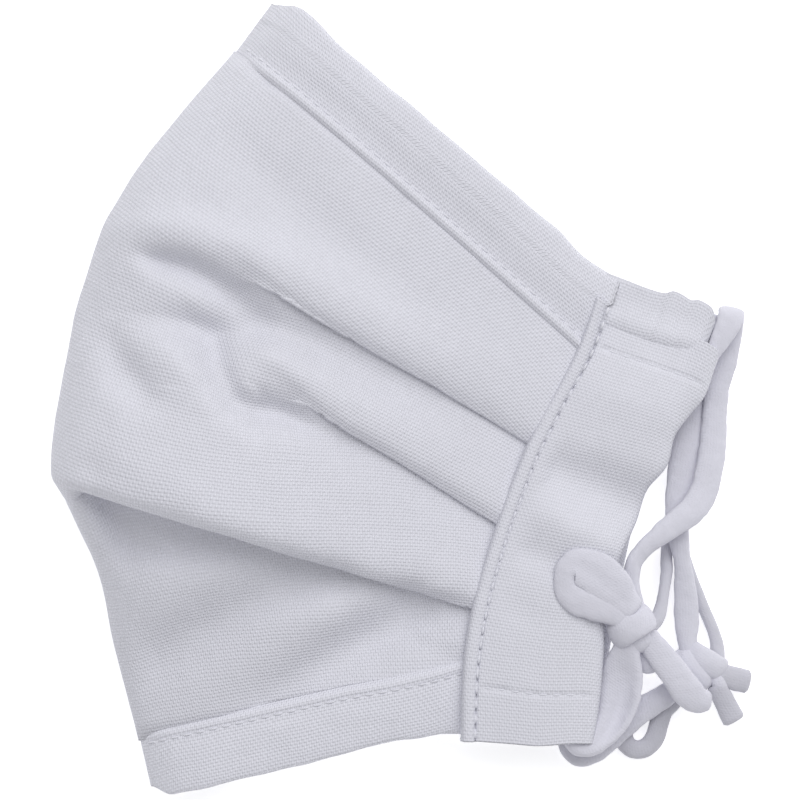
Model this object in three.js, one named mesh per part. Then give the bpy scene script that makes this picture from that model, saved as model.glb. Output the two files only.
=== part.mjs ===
// Pleated cloth face mask, folded in half at its centre line and lying on its side.
// Millimetres. X runs from the centre fold to the ear cords, Y along the side casings
// towards the nose edge, Z up from the surface that the back half lies on.

import * as THREE from "three";

// Driving dimensions
const HALF_WIDTH = 88;
const SIDE_HEIGHT = 60;
const FOLD_HEIGHT = 120;
const CREST_HEIGHT = 26;
const PLEAT_DEPTH = 9;
const LAYER_PITCH = 1.6;
const WALL = 1;
const CLEARANCE = 0.3;
const TOP_HEM_WIDTH = 13;
const BOTTOM_HEM_WIDTH = 10.5;
const HEM_THICKNESS = 1.6;
const HEM_RIDGE = 1.1;
const CASING_WIDTH = 24;
const CASING_BOW = 5.5;
const MOUTH_GAP = 1.2;
const CORD_DIAMETER = 3;
const KNOT_SIZE = 8.2;

// Heights that follow from them
const CASING_THICKNESS = CORD_DIAMETER + 2 * CLEARANCE + 2 * WALL;
const BACK_LEVEL = CASING_THICKNESS / 2;
const FRONT_LEVEL = BACK_LEVEL + CASING_THICKNESS + MOUTH_GAP;

// Centre fold seen from above. out: share of the half width from the casing ends,
// along: share of the fold height, from the nose edge down to the chin edge.
const CENTRE_FOLD = [
  { out: 0.835, along: 0.506 },
  { out: 0.918, along: 0.385 },
  { out: 0.978, along: 0.245 },
  { out: 0.997, along: 0.12 },
  { out: 0.983, along: -0.015 },
  { out: 0.962, along: -0.118 },
  { out: 0.938, along: -0.168 },
  { out: 0.872, along: -0.214 },
  { out: 0.785, along: -0.283 },
  { out: 0.712, along: -0.382 },
  { out: 0.603, along: -0.497 },
];

// Side casing seen from above, from the chin end to the nose end. along: share of the side
// height, ridge: share of the casing bow, front and back: shares of the casing width at
// which the right edge of each casing lies.
const CASING_ROWS = [
  { along: -0.7, ridge: -0.05, front: 0.95, back: 0.88 },
  { along: -0.5, ridge: -0.69, front: 0.885, back: 0.84 },
  { along: -0.33, ridge: -0.98, front: 0.79, back: 0.76 },
  { along: -0.07, ridge: -1.04, front: 0.685, back: 0.72 },
  { along: 0.19, ridge: -0.86, front: 0.77, back: 0.72 },
  { along: 0.49, ridge: -0.27, front: 0.92, back: 0.81 },
  { along: 0.72, ridge: -0.2, front: 0.97, back: 0.86 },
];

// Ends of the casings. across: share of the casing's own width from its ridge,
// the others: shares of the side height at which that end lies.
const CASING_ENDS = [
  { across: 0, chin: -0.7, frontNose: 0.71, backNose: 0.724 },
  { across: 0.22, chin: -0.675, frontNose: 0.64, backNose: 0.724 },
  { across: 0.6, chin: -0.645, frontNose: 0.628, backNose: 0.722 },
  { across: 0.84, chin: -0.618, frontNose: 0.62, backNose: 0.675 },
  { across: 1, chin: -0.6, frontNose: 0.6, backNose: 0.65 },
];

// Section of a casing. across: share of its width, outer and inner: shares of half its
// thickness for the cloth's outside and for the channel, which is open where inner is given.
const CASING_SECTION = [
  { across: 0, outer: 0.62 },
  { across: 0.02, outer: 0.84 },
  { across: 0.08, outer: 0.86 },
  { across: 0.12, outer: 0.45 },
  { across: 0.2, outer: 0.55, inner: 0.12 },
  { across: 0.36, outer: 0.86, inner: 0.5 },
  { across: 0.52, outer: 1, inner: 0.643 },
  { across: 0.9, outer: 1, inner: 0.643 },
  { across: 0.95, outer: 0.86, inner: 0.35 },
  { across: 1, outer: 0.34 },
];

// Lines that run across the mask from the centre fold to a casing. foldShare: share of the
// centre fold's length, side: share of the side height, bow: share of the side height by
// which the line swells towards the nose edge, crest: share of the crest height, turn:
// share of the crest height at which the centre fold has its middle, layer: layers above
// the casing's level where the line meets it.
const LINES = {
  seamTop: { foldShare: 0, side: 0.49, bow: 0.012, crest: 0.42, turn: 0.17, layer: 0 },
  upperHigh: { foldShare: 0.1, side: 0.42, bow: 0.02, crest: 0.6, turn: 0.28, layer: 0.2 },
  upperLow: { foldShare: 0.19, side: 0.33, bow: 0.035, crest: 0.78, turn: 0.34, layer: 0.5 },
  nose1: { foldShare: 0.283, side: 0.19, bow: 0.045, crest: 0.87, turn: 0.37, layer: 1 },
  middle1: { foldShare: 0.41, side: 0.1, bow: 0.11, crest: 0.84, turn: 0.38, layer: 0 },
  nose2: { foldShare: 0.467, side: -0.07, bow: 0.12, crest: 0.92, turn: 0.38, layer: 1 },
  middle2: { foldShare: 0.565, side: -0.16, bow: 0.07, crest: 0.96, turn: 0.4, layer: 0 },
  nose3: { foldShare: 0.625, side: -0.328, bow: 0, crest: 1, turn: 0.42, layer: 1 },
  lowerHigh: { foldShare: 0.77, side: -0.37, bow: -0.01, crest: 0.6, turn: 0.3, layer: -0.6 },
  lowerLow: { foldShare: 0.88, side: -0.43, bow: -0.01, crest: 0.52, turn: 0.24, layer: -0.3 },
  seamBottom: { foldShare: 1, side: -0.497, bow: 0, crest: 0.46, turn: 0.17, layer: 0 },
};

// Pleats. nose: the line that its folded edge follows, head: share of the way to the casing
// at which it closes, open: share of the pleat depth by which it gapes at the centre fold,
// step: share of the crest height from its nose down to its crease, upper and lower: the
// lines on either side of it.
const PLEATS = [
  { nose: "nose1", head: 0.12, open: 0.75, step: 0.2, upper: "upperLow", lower: "middle1" },
  { nose: "nose2", head: 0.38, open: 0.75, step: 0.17, upper: "middle1", lower: "middle2" },
  { nose: "nose3", head: 0.03, open: 0.6, step: 0.34, upper: "middle2", lower: "lowerHigh" },
];

// Dents and soft ridges of the front half. across and along: middle, in shares of the half
// width and of the fold height, reach and breadth: half length and half breadth in shares of
// the half width, lean: degrees from X, rise: share of the crest height, down where negative.
const DENTS = [
  { across: 0.74, along: 0.165, reach: 0.12, breadth: 0.05, lean: -12, rise: -0.2 },
  { across: 0.69, along: 0.05, reach: 0.13, breadth: 0.035, lean: -52, rise: 0.1 },
  { across: 0.82, along: 0.03, reach: 0.08, breadth: 0.06, lean: -40, rise: -0.14 },
  { across: 0.58, along: 0.06, reach: 0.07, breadth: 0.04, lean: -20, rise: -0.08 },
  { across: 0.45, along: 0.36, reach: 0.05, breadth: 0.03, lean: -24, rise: -0.05 },
];

// Hem section, from the seam outwards. out: share of the hem's width, half: share of half its
// thickness, lift: share of the ridge by which its middle is raised.
const HEM_SECTION = [
  { out: 0, half: 0.9, lift: 0.7 },
  { out: 0.04, half: 1.35, lift: 0.9 },
  { out: 0.1, half: 1.3, lift: 0.6 },
  { out: 0.14, half: 0.8, lift: 0 },
  { out: 0.6, half: 1, lift: 0 },
  { out: 0.96, half: 0.9, lift: 0 },
  { out: 1, half: 0.6, lift: 0 },
];

// Cord routes, chosen by hand in millimetres from the middle of the casings' ridge
const FRONT_CORD = [
  [23, -18.2, 9.2], [23.9, -24, 8.2], [24.5, -30, 7.6], [24.4, -35, 8.2], [22.6, -39.2, 9.2],
  [19.6, -40.2, 9.6], [17.6, -37.6, 9.6], [16.6, -33, 9.6], [15.3, -27, 9.6], [13.4, -19, 9.6],
  [11.6, -10, 9.6], [11.3, -3, 9.6], [12.2, 4, 9.6], [13.4, 11.4, 9.6], [15.2, 19, 9.6],
  [16.9, 27, 9.6], [17.7, 33, 9.6], [18.3, 37.5, 9.6], [19.4, 40.8, 9.6], [21.8, 42.7, 9.2],
  [24.4, 41.4, 8.4], [25.6, 37, 6.8], [25.9, 31, 4.4], [26.2, 25, 2.2], [26.6, 19, 1.8],
  [27, 13.4, 3.2], [26.2, 8.8, 6.3], [23.7, 5.2, 8.1], [21.2, 2.1, 8.4], [20.2, -1.7, 8.4],
  [20.4, -5.7, 8.6], [21.4, -10.2, 9.2],
];
const BACK_CORD = [
  [32.9, -21.2, 4.5], [30.4, -25, 5], [28.2, -29, 5.2], [26, -34, 5], [23.6, -38.6, 3.6],
  [20.6, -41, 2.8], [17.6, -39.6, 2.8], [16.6, -35, 2.8], [15, -28, 2.8], [13, -19, 2.8],
  [11.6, -10, 2.8], [11.5, -3, 2.8], [12, 4, 2.8], [12.8, 11.4, 2.8], [14, 19, 2.8],
  [15.4, 27, 2.8], [16.4, 33, 2.8], [17, 38, 2.8], [18, 41.2, 2.7], [20.2, 42.1, 2.4],
  [21.8, 40, 2], [21.9, 34, 1.6], [21.9, 26, 1.6], [21.7, 18.8, 1.6], [22.2, 12.6, 1.6],
  [23.4, 7.6, 3.2], [26, 2.7, 5.3], [28.6, -3.7, 4], [31, -10.4, 2.8], [33.1, -14.5, 3.3],
];
const FRONT_BOW = [
  [19.2, -14, 12.9], [16.4, -13.8, 14.4], [12.4, -13.6, 14.4], [9.2, -12, 14.4],
  [8.4, -8.8, 14.4], [9.8, -6, 14.4], [13, -5.4, 14.4], [17, -7.2, 14.4], [20.4, -10.6, 13.1],
];
const FRONT_TAIL = [
  [25.6, -16.6, 8.4], [28.5, -18, 7.8], [32, -20.2, 7.9], [36, -22, 7.9], [39.4, -22.8, 6.4],
];
const BACK_BOW = [
  [38.8, -14.2, 3.1], [38.8, -12.2, 2.2], [36.4, -8.4, 1.6], [32.4, -3.4, 1.6], [28.6, 1.2, 1.6],
  [26.2, 4, 1.6], [23.6, 3.4, 1.6], [23.4, 0.4, 1.7], [24.4, -4.7, 3], [25.2, -9, 5.2],
  [25, -11.2, 7],
];
const BACK_LOOP = [
  [36.4, -22.2, 2.6], [35, -26.4, 1.8], [33.8, -30.4, 1.6], [31.4, -33.6, 1.6],
  [28, -33.6, 1.6], [26.4, -30.4, 1.6], [28.8, -26.4, 1.6], [31.6, -23.4, 1.6],
];
const RIGHT_TAIL = [[40.1, -17.6, 2.6], [42.4, -17.3, 2], [45, -17, 1.7]];
const DOWN_TAIL = [[38.9, -21.4, 2.4], [41.6, -22.9, 1.8], [44.4, -24.6, 1.7]];
const FRONT_KNOT = [22.3, -14.3, 9.5];
const BACK_KNOT = [36, -18.2, 3.3];

const mix = (from, to, share) => from + (to - from) * share;

function smooth(from, to, value) {
  const share = Math.min(1, Math.max(0, (value - from) / (to - from)));
  return share * share * (3 - 2 * share);
}

// A smooth value from a table's column, looked up by another column
function tabled(rows, key, column, value) {
  const given = rows.filter((row) => row[column] !== undefined);
  let low = 0;
  while (low < given.length - 2 && value > given[low + 1][key]) {
    low += 1;
  }
  const before = given[Math.max(0, low - 1)];
  const from = given[low];
  const to = given[low + 1];
  const after = given[Math.min(given.length - 1, low + 2)];
  const span = to[key] - from[key];
  const share = Math.min(1, Math.max(0, (value - from[key]) / span));
  const slopeFrom = ((to[column] - before[column]) / (to[key] - before[key])) * span;
  const slopeTo = ((after[column] - from[column]) / (after[key] - from[key])) * span;
  const square = share * share;
  const cube = square * share;
  return (2 * cube - 3 * square + 1) * from[column] + (cube - 2 * square + share) * slopeFrom
    + (3 * square - 2 * cube) * to[column] + (cube - square) * slopeTo;
}

const centreFold = new THREE.CatmullRomCurve3(
  CENTRE_FOLD.map((row) => new THREE.Vector3(-row.out * HALF_WIDTH, row.along * FOLD_HEIGHT, 0)),
  false,
  "centripetal",
);

function ridgeX(y) {
  return CASING_BOW * tabled(CASING_ROWS, "along", "ridge", y / SIDE_HEIGHT);
}

// Turn of the cloth at the centre fold: 0 at the fold, 1 where the half lies at its height
function turned(s, width) {
  const left = 1 - Math.min(1, s / width);
  return Math.sqrt(1 - left * left);
}

function dentAt(x, y) {
  let rise = 0;
  for (const dent of DENTS) {
    const lean = THREE.MathUtils.degToRad(dent.lean);
    const dx = x + dent.across * HALF_WIDTH;
    const dy = y - dent.along * FOLD_HEIGHT;
    const along = (dx * Math.cos(lean) + dy * Math.sin(lean)) / (dent.reach * HALF_WIDTH);
    const across = (dy * Math.cos(lean) - dx * Math.sin(lean)) / (dent.breadth * HALF_WIDTH);
    rise += dent.rise * CREST_HEIGHT * Math.exp(-along * along - across * across);
  }
  return rise;
}

// Place of a line seen from above, at a share s of its way from the centre fold to the casing
function planAt(line, s) {
  const start = centreFold.getPointAt(line.foldShare);
  const endY = line.side * SIDE_HEIGHT;
  const endX = ridgeX(endY) - 1.5 * CLEARANCE;
  const swell = Math.sin(Math.PI * Math.pow(s, 0.75)) * line.bow * SIDE_HEIGHT;
  return new THREE.Vector3(mix(start.x, endX, s), mix(start.y, endY, s) + swell, 0);
}

// Height of a line in the front half, and in the back half with front false
function heightAt(line, s, front) {
  const middle = line.turn * CREST_HEIGHT;
  if (front) {
    const side = FRONT_LEVEL + line.layer * LAYER_PITCH;
    const top = mix(line.crest * CREST_HEIGHT, side, smooth(0.3, 1, s));
    return middle + (top - middle) * turned(s, 0.24);
  }
  const flat = WALL / 2 + CLEARANCE / 4 + (1 - line.layer) * LAYER_PITCH * smooth(0.1, 0.5, s);
  const side = BACK_LEVEL - line.layer * LAYER_PITCH;
  const low = mix(flat, side, smooth(0.8, 1, s));
  return middle + (low - middle) * turned(s, 0.14);
}

function pointOn(line, s, front) {
  const place = planAt(line, s);
  place.z = heightAt(line, s, front);
  if (front) {
    place.z += dentAt(place.x, place.y) * smooth(0.02, 0.2, s);
  }
  return place;
}

// The points of a pleat's Z fold, from above its nose to below its crease
function pleatPoints(pleat, s, front) {
  const nose = LINES[pleat.nose];
  const tip = pointOn(nose, s, front);
  const closed = smooth(pleat.head, 1, s);
  const opening = 1 - smooth(0, pleat.head + 0.08, s);
  const overlap = PLEAT_DEPTH * Math.pow(Math.max(0, (s - pleat.head) / (1 - pleat.head)), 0.8);
  const gape = pleat.open * PLEAT_DEPTH * opening;
  const direction = front ? 1 : -1;
  const openStep = (front ? pleat.step * CREST_HEIGHT : LAYER_PITCH) * smooth(0, 0.16, s);
  const step = direction * mix(openStep, 2 * LAYER_PITCH, smooth(0.3, 1, s));
  const turn = step * mix(0.3, 0.5, closed);
  const widest = (pleat.open * PLEAT_DEPTH) / centreFold.getLength();
  const creaseLine = { ...nose, foldShare: nose.foldShare + widest };
  const foldEnd = planAt(creaseLine, 0).sub(planAt(nose, 0)).multiplyScalar(opening);
  const crease = tip.clone().add(foldEnd);
  crease.y += overlap;
  crease.z = tip.z - step;
  const back = Math.max(1.5 * WALL, 0.5 * overlap) * smooth(0, 0.1, s);
  const lead = LAYER_PITCH;
  const gapAhead = gape + 0.8 * WALL * (1 - closed);
  const down = centreFold.getTangentAt(nose.foldShare);
  down.lerp(new THREE.Vector3(0, -1, 0), smooth(0, 0.35, s));
  const offset = (from, ahead, rise) => {
    const corner = from.clone().addScaledVector(down, ahead);
    corner.z += rise;
    return corner;
  };
  return [
    offset(tip, -lead - back * 0.3, 0),
    offset(tip, 0, 0),
    offset(tip, 0, -turn),
    offset(crease, 0.2 * gapAhead, turn),
    offset(crease, 0, 0),
    offset(crease, lead + 0.4 * gapAhead, 0),
  ];
}

// A section's corner moved along X so that the cloth ends square at the casing's ridge
function seated(corner, line, s) {
  const shift = ridgeX(corner.y) - ridgeX(line.side * SIDE_HEIGHT);
  corner.x += shift * smooth(0.6, 1, s);
  return corner;
}

// One section of the pleated cloth, from hem seam to hem seam, as the corners of a soft curve
function sectionCorners(s, front) {
  const corners = [pointOn(LINES.seamTop, s, front)];
  corners.push(pointOn(LINES.upperHigh, s, front));
  corners.push(pointOn(LINES.upperLow, s, front));
  for (const pleat of PLEATS) {
    const nose = LINES[pleat.nose];
    corners.push(...pleatPoints(pleat, s, front).map((corner) => seated(corner, nose, s)));
    corners.push(pointOn(LINES[pleat.lower], s, front));
  }
  corners.push(pointOn(LINES.lowerLow, s, front));
  corners.push(pointOn(LINES.seamBottom, s, front));
  return corners;
}

// Quadratic spline that touches the middle of each side between two corners
function softened(corners, samples) {
  const points = [corners[0].clone()];
  for (let index = 1; index < corners.length - 1; index += 1) {
    const from = index === 1 ? corners[0] : corners[index - 1].clone().lerp(corners[index], 0.5);
    const last = index === corners.length - 2;
    const to = last ? corners[index + 1] : corners[index].clone().lerp(corners[index + 1], 0.5);
    const curve = new THREE.QuadraticBezierCurve3(from, corners[index], to);
    for (let step = 1; step <= samples; step += 1) {
      points.push(curve.getPoint(step / samples));
    }
  }
  return points;
}

// Stations from the front casing round the centre fold to the back casing
function stations() {
  const flat = [1, 0.93, 0.85, 0.75, 0.64, 0.53, 0.42, 0.32, 0.24];
  const turn = [0.17, 0.11, 0.06, 0.025];
  const front = [...flat, ...turn].map((s) => ({ s, front: true }));
  const away = [0.02, 0.05, 0.1, 0.16, 0.28, 0.45, 0.65, 0.85, 1];
  const back = away.map((s) => ({ s, front: false }));
  return [...front, { s: 0, front: true }, ...back];
}

// Closed solid from a list of points and triangles
function solid(points, triangles) {
  const geometry = new THREE.BufferGeometry();
  const places = points.flatMap((point) => [point.x, point.y, point.z]);
  geometry.setAttribute("position", new THREE.Float32BufferAttribute(places, 3));
  let volume = 0;
  for (const [a, b, c] of triangles) {
    volume += points[a].dot(new THREE.Vector3().crossVectors(points[b], points[c]));
  }
  const faces = volume > 0 ? triangles : triangles.map(([a, b, c]) => [a, c, b]);
  geometry.setIndex(faces.flat());
  geometry.computeVertexNormals();
  return geometry;
}

// Two triangles for each side of a closed band between two rings
function band(triangles, ringA, ringB) {
  for (let index = 0; index < ringA.length; index += 1) {
    const next = (index + 1) % ringA.length;
    triangles.push([ringA[index], ringB[index], ringB[next]]);
    triangles.push([ringA[index], ringB[next], ringA[next]]);
  }
}

// Cloth wall round a grid of middle points. half(row, column) is half the wall there.
function clothWall(grid, half) {
  const rows = grid.length;
  const columns = grid[0].length;
  const upper = [];
  const lower = [];
  for (let row = 0; row < rows; row += 1) {
    for (let column = 0; column < columns; column += 1) {
      const after = grid[Math.min(rows - 1, row + 1)][column];
      const before = grid[Math.max(0, row - 1)][column];
      const right = grid[row][Math.min(columns - 1, column + 1)];
      const left = grid[row][Math.max(0, column - 1)];
      const along = after.clone().sub(before);
      const across = right.clone().sub(left);
      const normal = along.cross(across).normalize().multiplyScalar(half(row, column));
      upper.push(grid[row][column].clone().add(normal));
      lower.push(grid[row][column].clone().sub(normal));
    }
  }
  const count = rows * columns;
  const at = (row, column) => row * columns + column;
  const triangles = [];
  for (let row = 0; row < rows - 1; row += 1) {
    for (let column = 0; column < columns - 1; column += 1) {
      const [a, b] = [at(row, column), at(row, column + 1)];
      const [c, d] = [at(row + 1, column + 1), at(row + 1, column)];
      triangles.push([a, b, c], [a, c, d]);
      triangles.push([a + count, c + count, b + count], [a + count, d + count, c + count]);
    }
  }
  const rim = [];
  for (let column = 0; column < columns - 1; column += 1) {
    rim.push(at(0, column));
  }
  for (let row = 0; row < rows - 1; row += 1) {
    rim.push(at(row, columns - 1));
  }
  for (let column = columns - 1; column > 0; column -= 1) {
    rim.push(at(rows - 1, column));
  }
  for (let row = rows - 1; row > 0; row -= 1) {
    rim.push(at(row, 0));
  }
  band(triangles, rim, rim.map((index) => index + count));
  return solid([...upper, ...lower], triangles);
}

function pleatedPanel() {
  const grid = stations().map(({ s, front }) => softened(sectionCorners(s, front), 2));
  return clothWall(grid, () => WALL / 2);
}

// Hem strip that follows a seam line round the centre fold. outward is 1 at the nose edge.
function hem(seam, width, outward) {
  const grid = stations().map(({ s, front }) => {
    const inner = pointOn(seam, s, front);
    const ahead = pointOn(seam, Math.min(1, s + 0.02), front);
    const behind = pointOn(seam, Math.max(0, s - 0.02), front);
    const run = ahead.sub(behind).setZ(0).normalize();
    const square = new THREE.Vector3(-run.y, run.x, 0).multiplyScalar(outward);
    const level = new THREE.Vector3(0, outward / run.x, 0);
    const out = square.lerp(level, smooth(0.6, 1, s));
    const side = front ? 1 : -1;
    const drop = HEM_THICKNESS * 0.5 * smooth(0.05, 0.3, s) * side;
    return HEM_SECTION.map((row) => {
      const reach = mix(2 * CLEARANCE, width, row.out);
      const point = seated(inner.clone().addScaledVector(out, reach), seam, s);
      point.z += side * row.lift * HEM_RIDGE * 0.5 * smooth(0, 0.1, s) - drop * row.out;
      point.z = Math.max(point.z, (row.half * HEM_THICKNESS) / 2 + CLEARANCE / 2);
      return point;
    });
  });
  return clothWall(grid, (row, column) => (HEM_SECTION[column].half * HEM_THICKNESS) / 2);
}

// Side casing: a flat cloth tube, open at both ends, with the folded ridge along its seam
function casing(edge, nose, level, shift) {
  const outerRows = CASING_SECTION;
  const innerRows = CASING_SECTION.filter((row) => row.inner !== undefined);
  const half = CASING_THICKNESS / 2;
  const loop = (rows, column) => [
    ...rows.map((row) => ({ across: row.across, rise: row[column] * half })),
    ...[...rows].reverse().map((row) => ({ across: row.across, rise: -row[column] * half })),
  ];
  const outerLoop = loop(outerRows, "outer");
  const innerLoop = loop(innerRows, "inner");
  const rings = 11;
  const place = (corner, share) => {
    const chin = tabled(CASING_ENDS, "across", "chin", corner.across);
    const end = tabled(CASING_ENDS, "across", nose, corner.across);
    const y = mix(chin, end, share) * SIDE_HEIGHT;
    const left = ridgeX(y) + shift;
    const right = tabled(CASING_ROWS, "along", edge, y / SIDE_HEIGHT) * CASING_WIDTH;
    return new THREE.Vector3(mix(left, right, corner.across), y, level + corner.rise);
  };
  const points = [];
  const outer = [];
  const inner = [];
  for (let ring = 0; ring <= rings; ring += 1) {
    outer.push(outerLoop.map((corner) => points.push(place(corner, ring / rings)) - 1));
    inner.push(innerLoop.map((corner) => points.push(place(corner, ring / rings)) - 1));
  }
  const triangles = [];
  for (let ring = 0; ring < rings; ring += 1) {
    band(triangles, outer[ring], outer[ring + 1]);
    band(triangles, inner[ring + 1], inner[ring]);
  }
  const cap = (ring, flipped) => {
    const contour = outerLoop.map((corner) => new THREE.Vector2(corner.across * CASING_WIDTH, corner.rise));
    const hole = innerLoop.map((corner) => new THREE.Vector2(corner.across * CASING_WIDTH, corner.rise));
    const indices = [...outer[ring], ...inner[ring]];
    for (const [a, b, c] of THREE.ShapeUtils.triangulateShape(contour, [hole])) {
      const face = [indices[a], indices[b], indices[c]];
      triangles.push(flipped ? face.reverse() : face);
    }
  };
  cap(0, true);
  cap(rings, false);
  return solid(points, triangles);
}

// Tube along a cord's route
function cord(route, steps) {
  const places = route.map((point) => new THREE.Vector3(...point));
  const curve = new THREE.CatmullRomCurve3(places, false, "centripetal");
  const section = new THREE.Shape();
  const sides = 8;
  for (let side = 0; side < sides; side += 1) {
    const angle = (2 * Math.PI * side) / sides;
    const across = (Math.cos(angle) * CORD_DIAMETER) / 2;
    const up = (Math.sin(angle) * CORD_DIAMETER) / 2;
    section[side ? "lineTo" : "moveTo"](across, up);
  }
  section.closePath();
  return new THREE.ExtrudeGeometry(section, { steps, bevelEnabled: false, extrudePath: curve });
}

// Knot: a rounded lump with a furrow between its turns of cord
function knot() {
  const geometry = new THREE.IcosahedronGeometry(KNOT_SIZE / 2, 2);
  const place = geometry.attributes.position;
  for (let index = 0; index < place.count; index += 1) {
    const point = new THREE.Vector3().fromBufferAttribute(place, index);
    const furrow = 1 - 0.1 * Math.pow(Math.cos((Math.PI * point.y) / KNOT_SIZE), 8);
    place.setXYZ(index, point.x * furrow, point.y * 0.86 * furrow, point.z * 0.8 * furrow);
  }
  geometry.deleteAttribute("normal");
  geometry.deleteAttribute("uv");
  geometry.computeVertexNormals();
  return geometry;
}

const cotton = () => new THREE.MeshStandardMaterial({ color: 0xe3e2e8, roughness: 0.95, metalness: 0 });
const elastic = () => new THREE.MeshStandardMaterial({ color: 0xdedee5, roughness: 0.9, metalness: 0 });

const mask = new THREE.Group();

function add(name, geometry, material, position) {
  const mesh = new THREE.Mesh(geometry, material);
  mesh.name = name;
  if (position) {
    mesh.position.set(...position);
  }
  mask.add(mesh);
  return mesh;
}

const cloth = [
  add("pleated_panel", pleatedPanel(), cotton()),
  add("top_hem", hem(LINES.seamTop, TOP_HEM_WIDTH, 1), cotton()),
  add("bottom_hem", hem(LINES.seamBottom, BOTTOM_HEM_WIDTH, -1), cotton()),
  add("casing_front", casing("front", "frontNose", FRONT_LEVEL, 0), cotton()),
  add("casing_back", casing("back", "backNose", BACK_LEVEL, 0), cotton()),
];
add("ear_cord_front", cord(FRONT_CORD, 78), elastic());
add("ear_cord_back", cord(BACK_CORD, 78), elastic());
add("knot_front", knot(), elastic(), FRONT_KNOT);
add("bow_front", cord(FRONT_BOW, 20), elastic());
add("tail_front", cord(FRONT_TAIL, 9), elastic());
add("knot_back", knot(), elastic(), BACK_KNOT);
add("bow_back", cord(BACK_BOW, 24), elastic());
add("loop_back", cord(BACK_LOOP, 18), elastic());
add("tail_back_right", cord(RIGHT_TAIL, 4), elastic());
add("tail_back_down", cord(DOWN_TAIL, 4), elastic());

// The origin lies under the middle of the cloth, on the surface
const box = new THREE.Box3();
for (const mesh of cloth) {
  box.expandByObject(mesh);
}
mask.position.set(-(box.min.x + box.max.x) / 2, -(box.min.y + box.max.y) / 2, -box.min.z);

export default mask;
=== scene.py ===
import math
from bisect import bisect_right

import bmesh
import bpy
from mathutils import Matrix, Vector, noise


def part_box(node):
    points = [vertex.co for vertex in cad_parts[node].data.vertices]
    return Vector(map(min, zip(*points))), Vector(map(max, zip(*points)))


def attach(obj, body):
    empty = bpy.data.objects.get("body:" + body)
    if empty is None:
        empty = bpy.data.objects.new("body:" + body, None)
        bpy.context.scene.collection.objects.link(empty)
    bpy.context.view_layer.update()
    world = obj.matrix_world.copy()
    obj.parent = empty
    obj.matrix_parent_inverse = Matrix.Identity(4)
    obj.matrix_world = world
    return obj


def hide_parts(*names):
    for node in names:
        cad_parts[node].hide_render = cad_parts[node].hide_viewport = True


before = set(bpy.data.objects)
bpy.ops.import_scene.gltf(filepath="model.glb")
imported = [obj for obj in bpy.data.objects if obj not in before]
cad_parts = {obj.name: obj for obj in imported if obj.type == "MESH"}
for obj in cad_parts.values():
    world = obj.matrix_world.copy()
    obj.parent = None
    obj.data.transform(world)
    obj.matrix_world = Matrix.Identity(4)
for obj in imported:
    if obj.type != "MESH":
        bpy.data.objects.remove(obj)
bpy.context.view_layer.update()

MM = 0.001

# Sizes in metres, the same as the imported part's
HALF_WIDTH = 0.088
SIDE_HEIGHT = 0.060
FOLD_HEIGHT = 0.120
CREST_HEIGHT = 0.026
PLEAT_DEPTH = 0.009
LAYER_PITCH = 0.0016
WALL = 0.001
CLEARANCE = 0.0003
TOP_HEM_WIDTH = 0.013
BOTTOM_HEM_WIDTH = 0.0105
HEM_THICKNESS = 0.0016
CASING_WIDTH = 0.024
CASING_BOW = 0.0055
CORD_DIAMETER = 0.003
CASING_THICKNESS = CORD_DIAMETER + 2 * CLEARANCE + 2 * WALL
BACK_LEVEL = CASING_THICKNESS / 2
FRONT_LEVEL = BACK_LEVEL + CASING_THICKNESS + 0.0012

# Real cloth and thread
CLOTH_THICKNESS = 0.0007
THREAD_PITCH_ACROSS = 0.00042
THREAD_PITCH_ALONG = 0.00058
STITCH_PITCH = 0.0023
STITCH_THREAD = 0.00034

# The photograph: 800 pixels a side, straight above the mask and turned a little
PHOTO_SIDE = 800
PHOTO_SCALE = 0.175 * MM
PHOTO_RIGHT = Vector((0.9532, 0.3024, 0.0))
PHOTO_UP = Vector((-0.3024, 0.9532, 0.0))
RIDGE_MIDDLE_PIXEL = (535, 510)

# Middle of the casings' ridge on the surface, found from the front knot's place
FRONT_KNOT = Vector((22.3, -14.3, 9.5)) * MM
BACK_KNOT = Vector((36.0, -18.2, 3.3)) * MM
knot_low, knot_high = (Vector(corner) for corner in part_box("knot_front"))
ORIGIN = (knot_low + knot_high) / 2 - FRONT_KNOT


def placed(x, y, z=0.0):
    """A point given in millimetres from the middle of the casings' ridge."""
    return ORIGIN + Vector((x, y, z)) * MM


def pixel_place(px, py):
    """The place on the surface under a pixel of the photograph."""
    right = px - RIDGE_MIDDLE_PIXEL[0]
    down = py - RIDGE_MIDDLE_PIXEL[1]
    return ORIGIN + (PHOTO_RIGHT * right - PHOTO_UP * down) * PHOTO_SCALE


def named(parts, *rows):
    """Rows of values as dictionaries, with a name for each part of a row."""
    return [dict(zip(parts.split(), row)) for row in rows]


# Centre fold seen from above, from the nose edge down to the chin edge: share of the half width
# from the casing ends and share of the fold height.
CENTRE_FOLD = [
    (0.845, 0.506), (0.914, 0.385), (0.98, 0.245), (0.993, 0.12), (0.973, -0.015),
    (0.954, -0.118), (0.929, -0.168), (0.846, -0.214), (0.779, -0.283), (0.712, -0.382),
    (0.611, -0.497),
]

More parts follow.
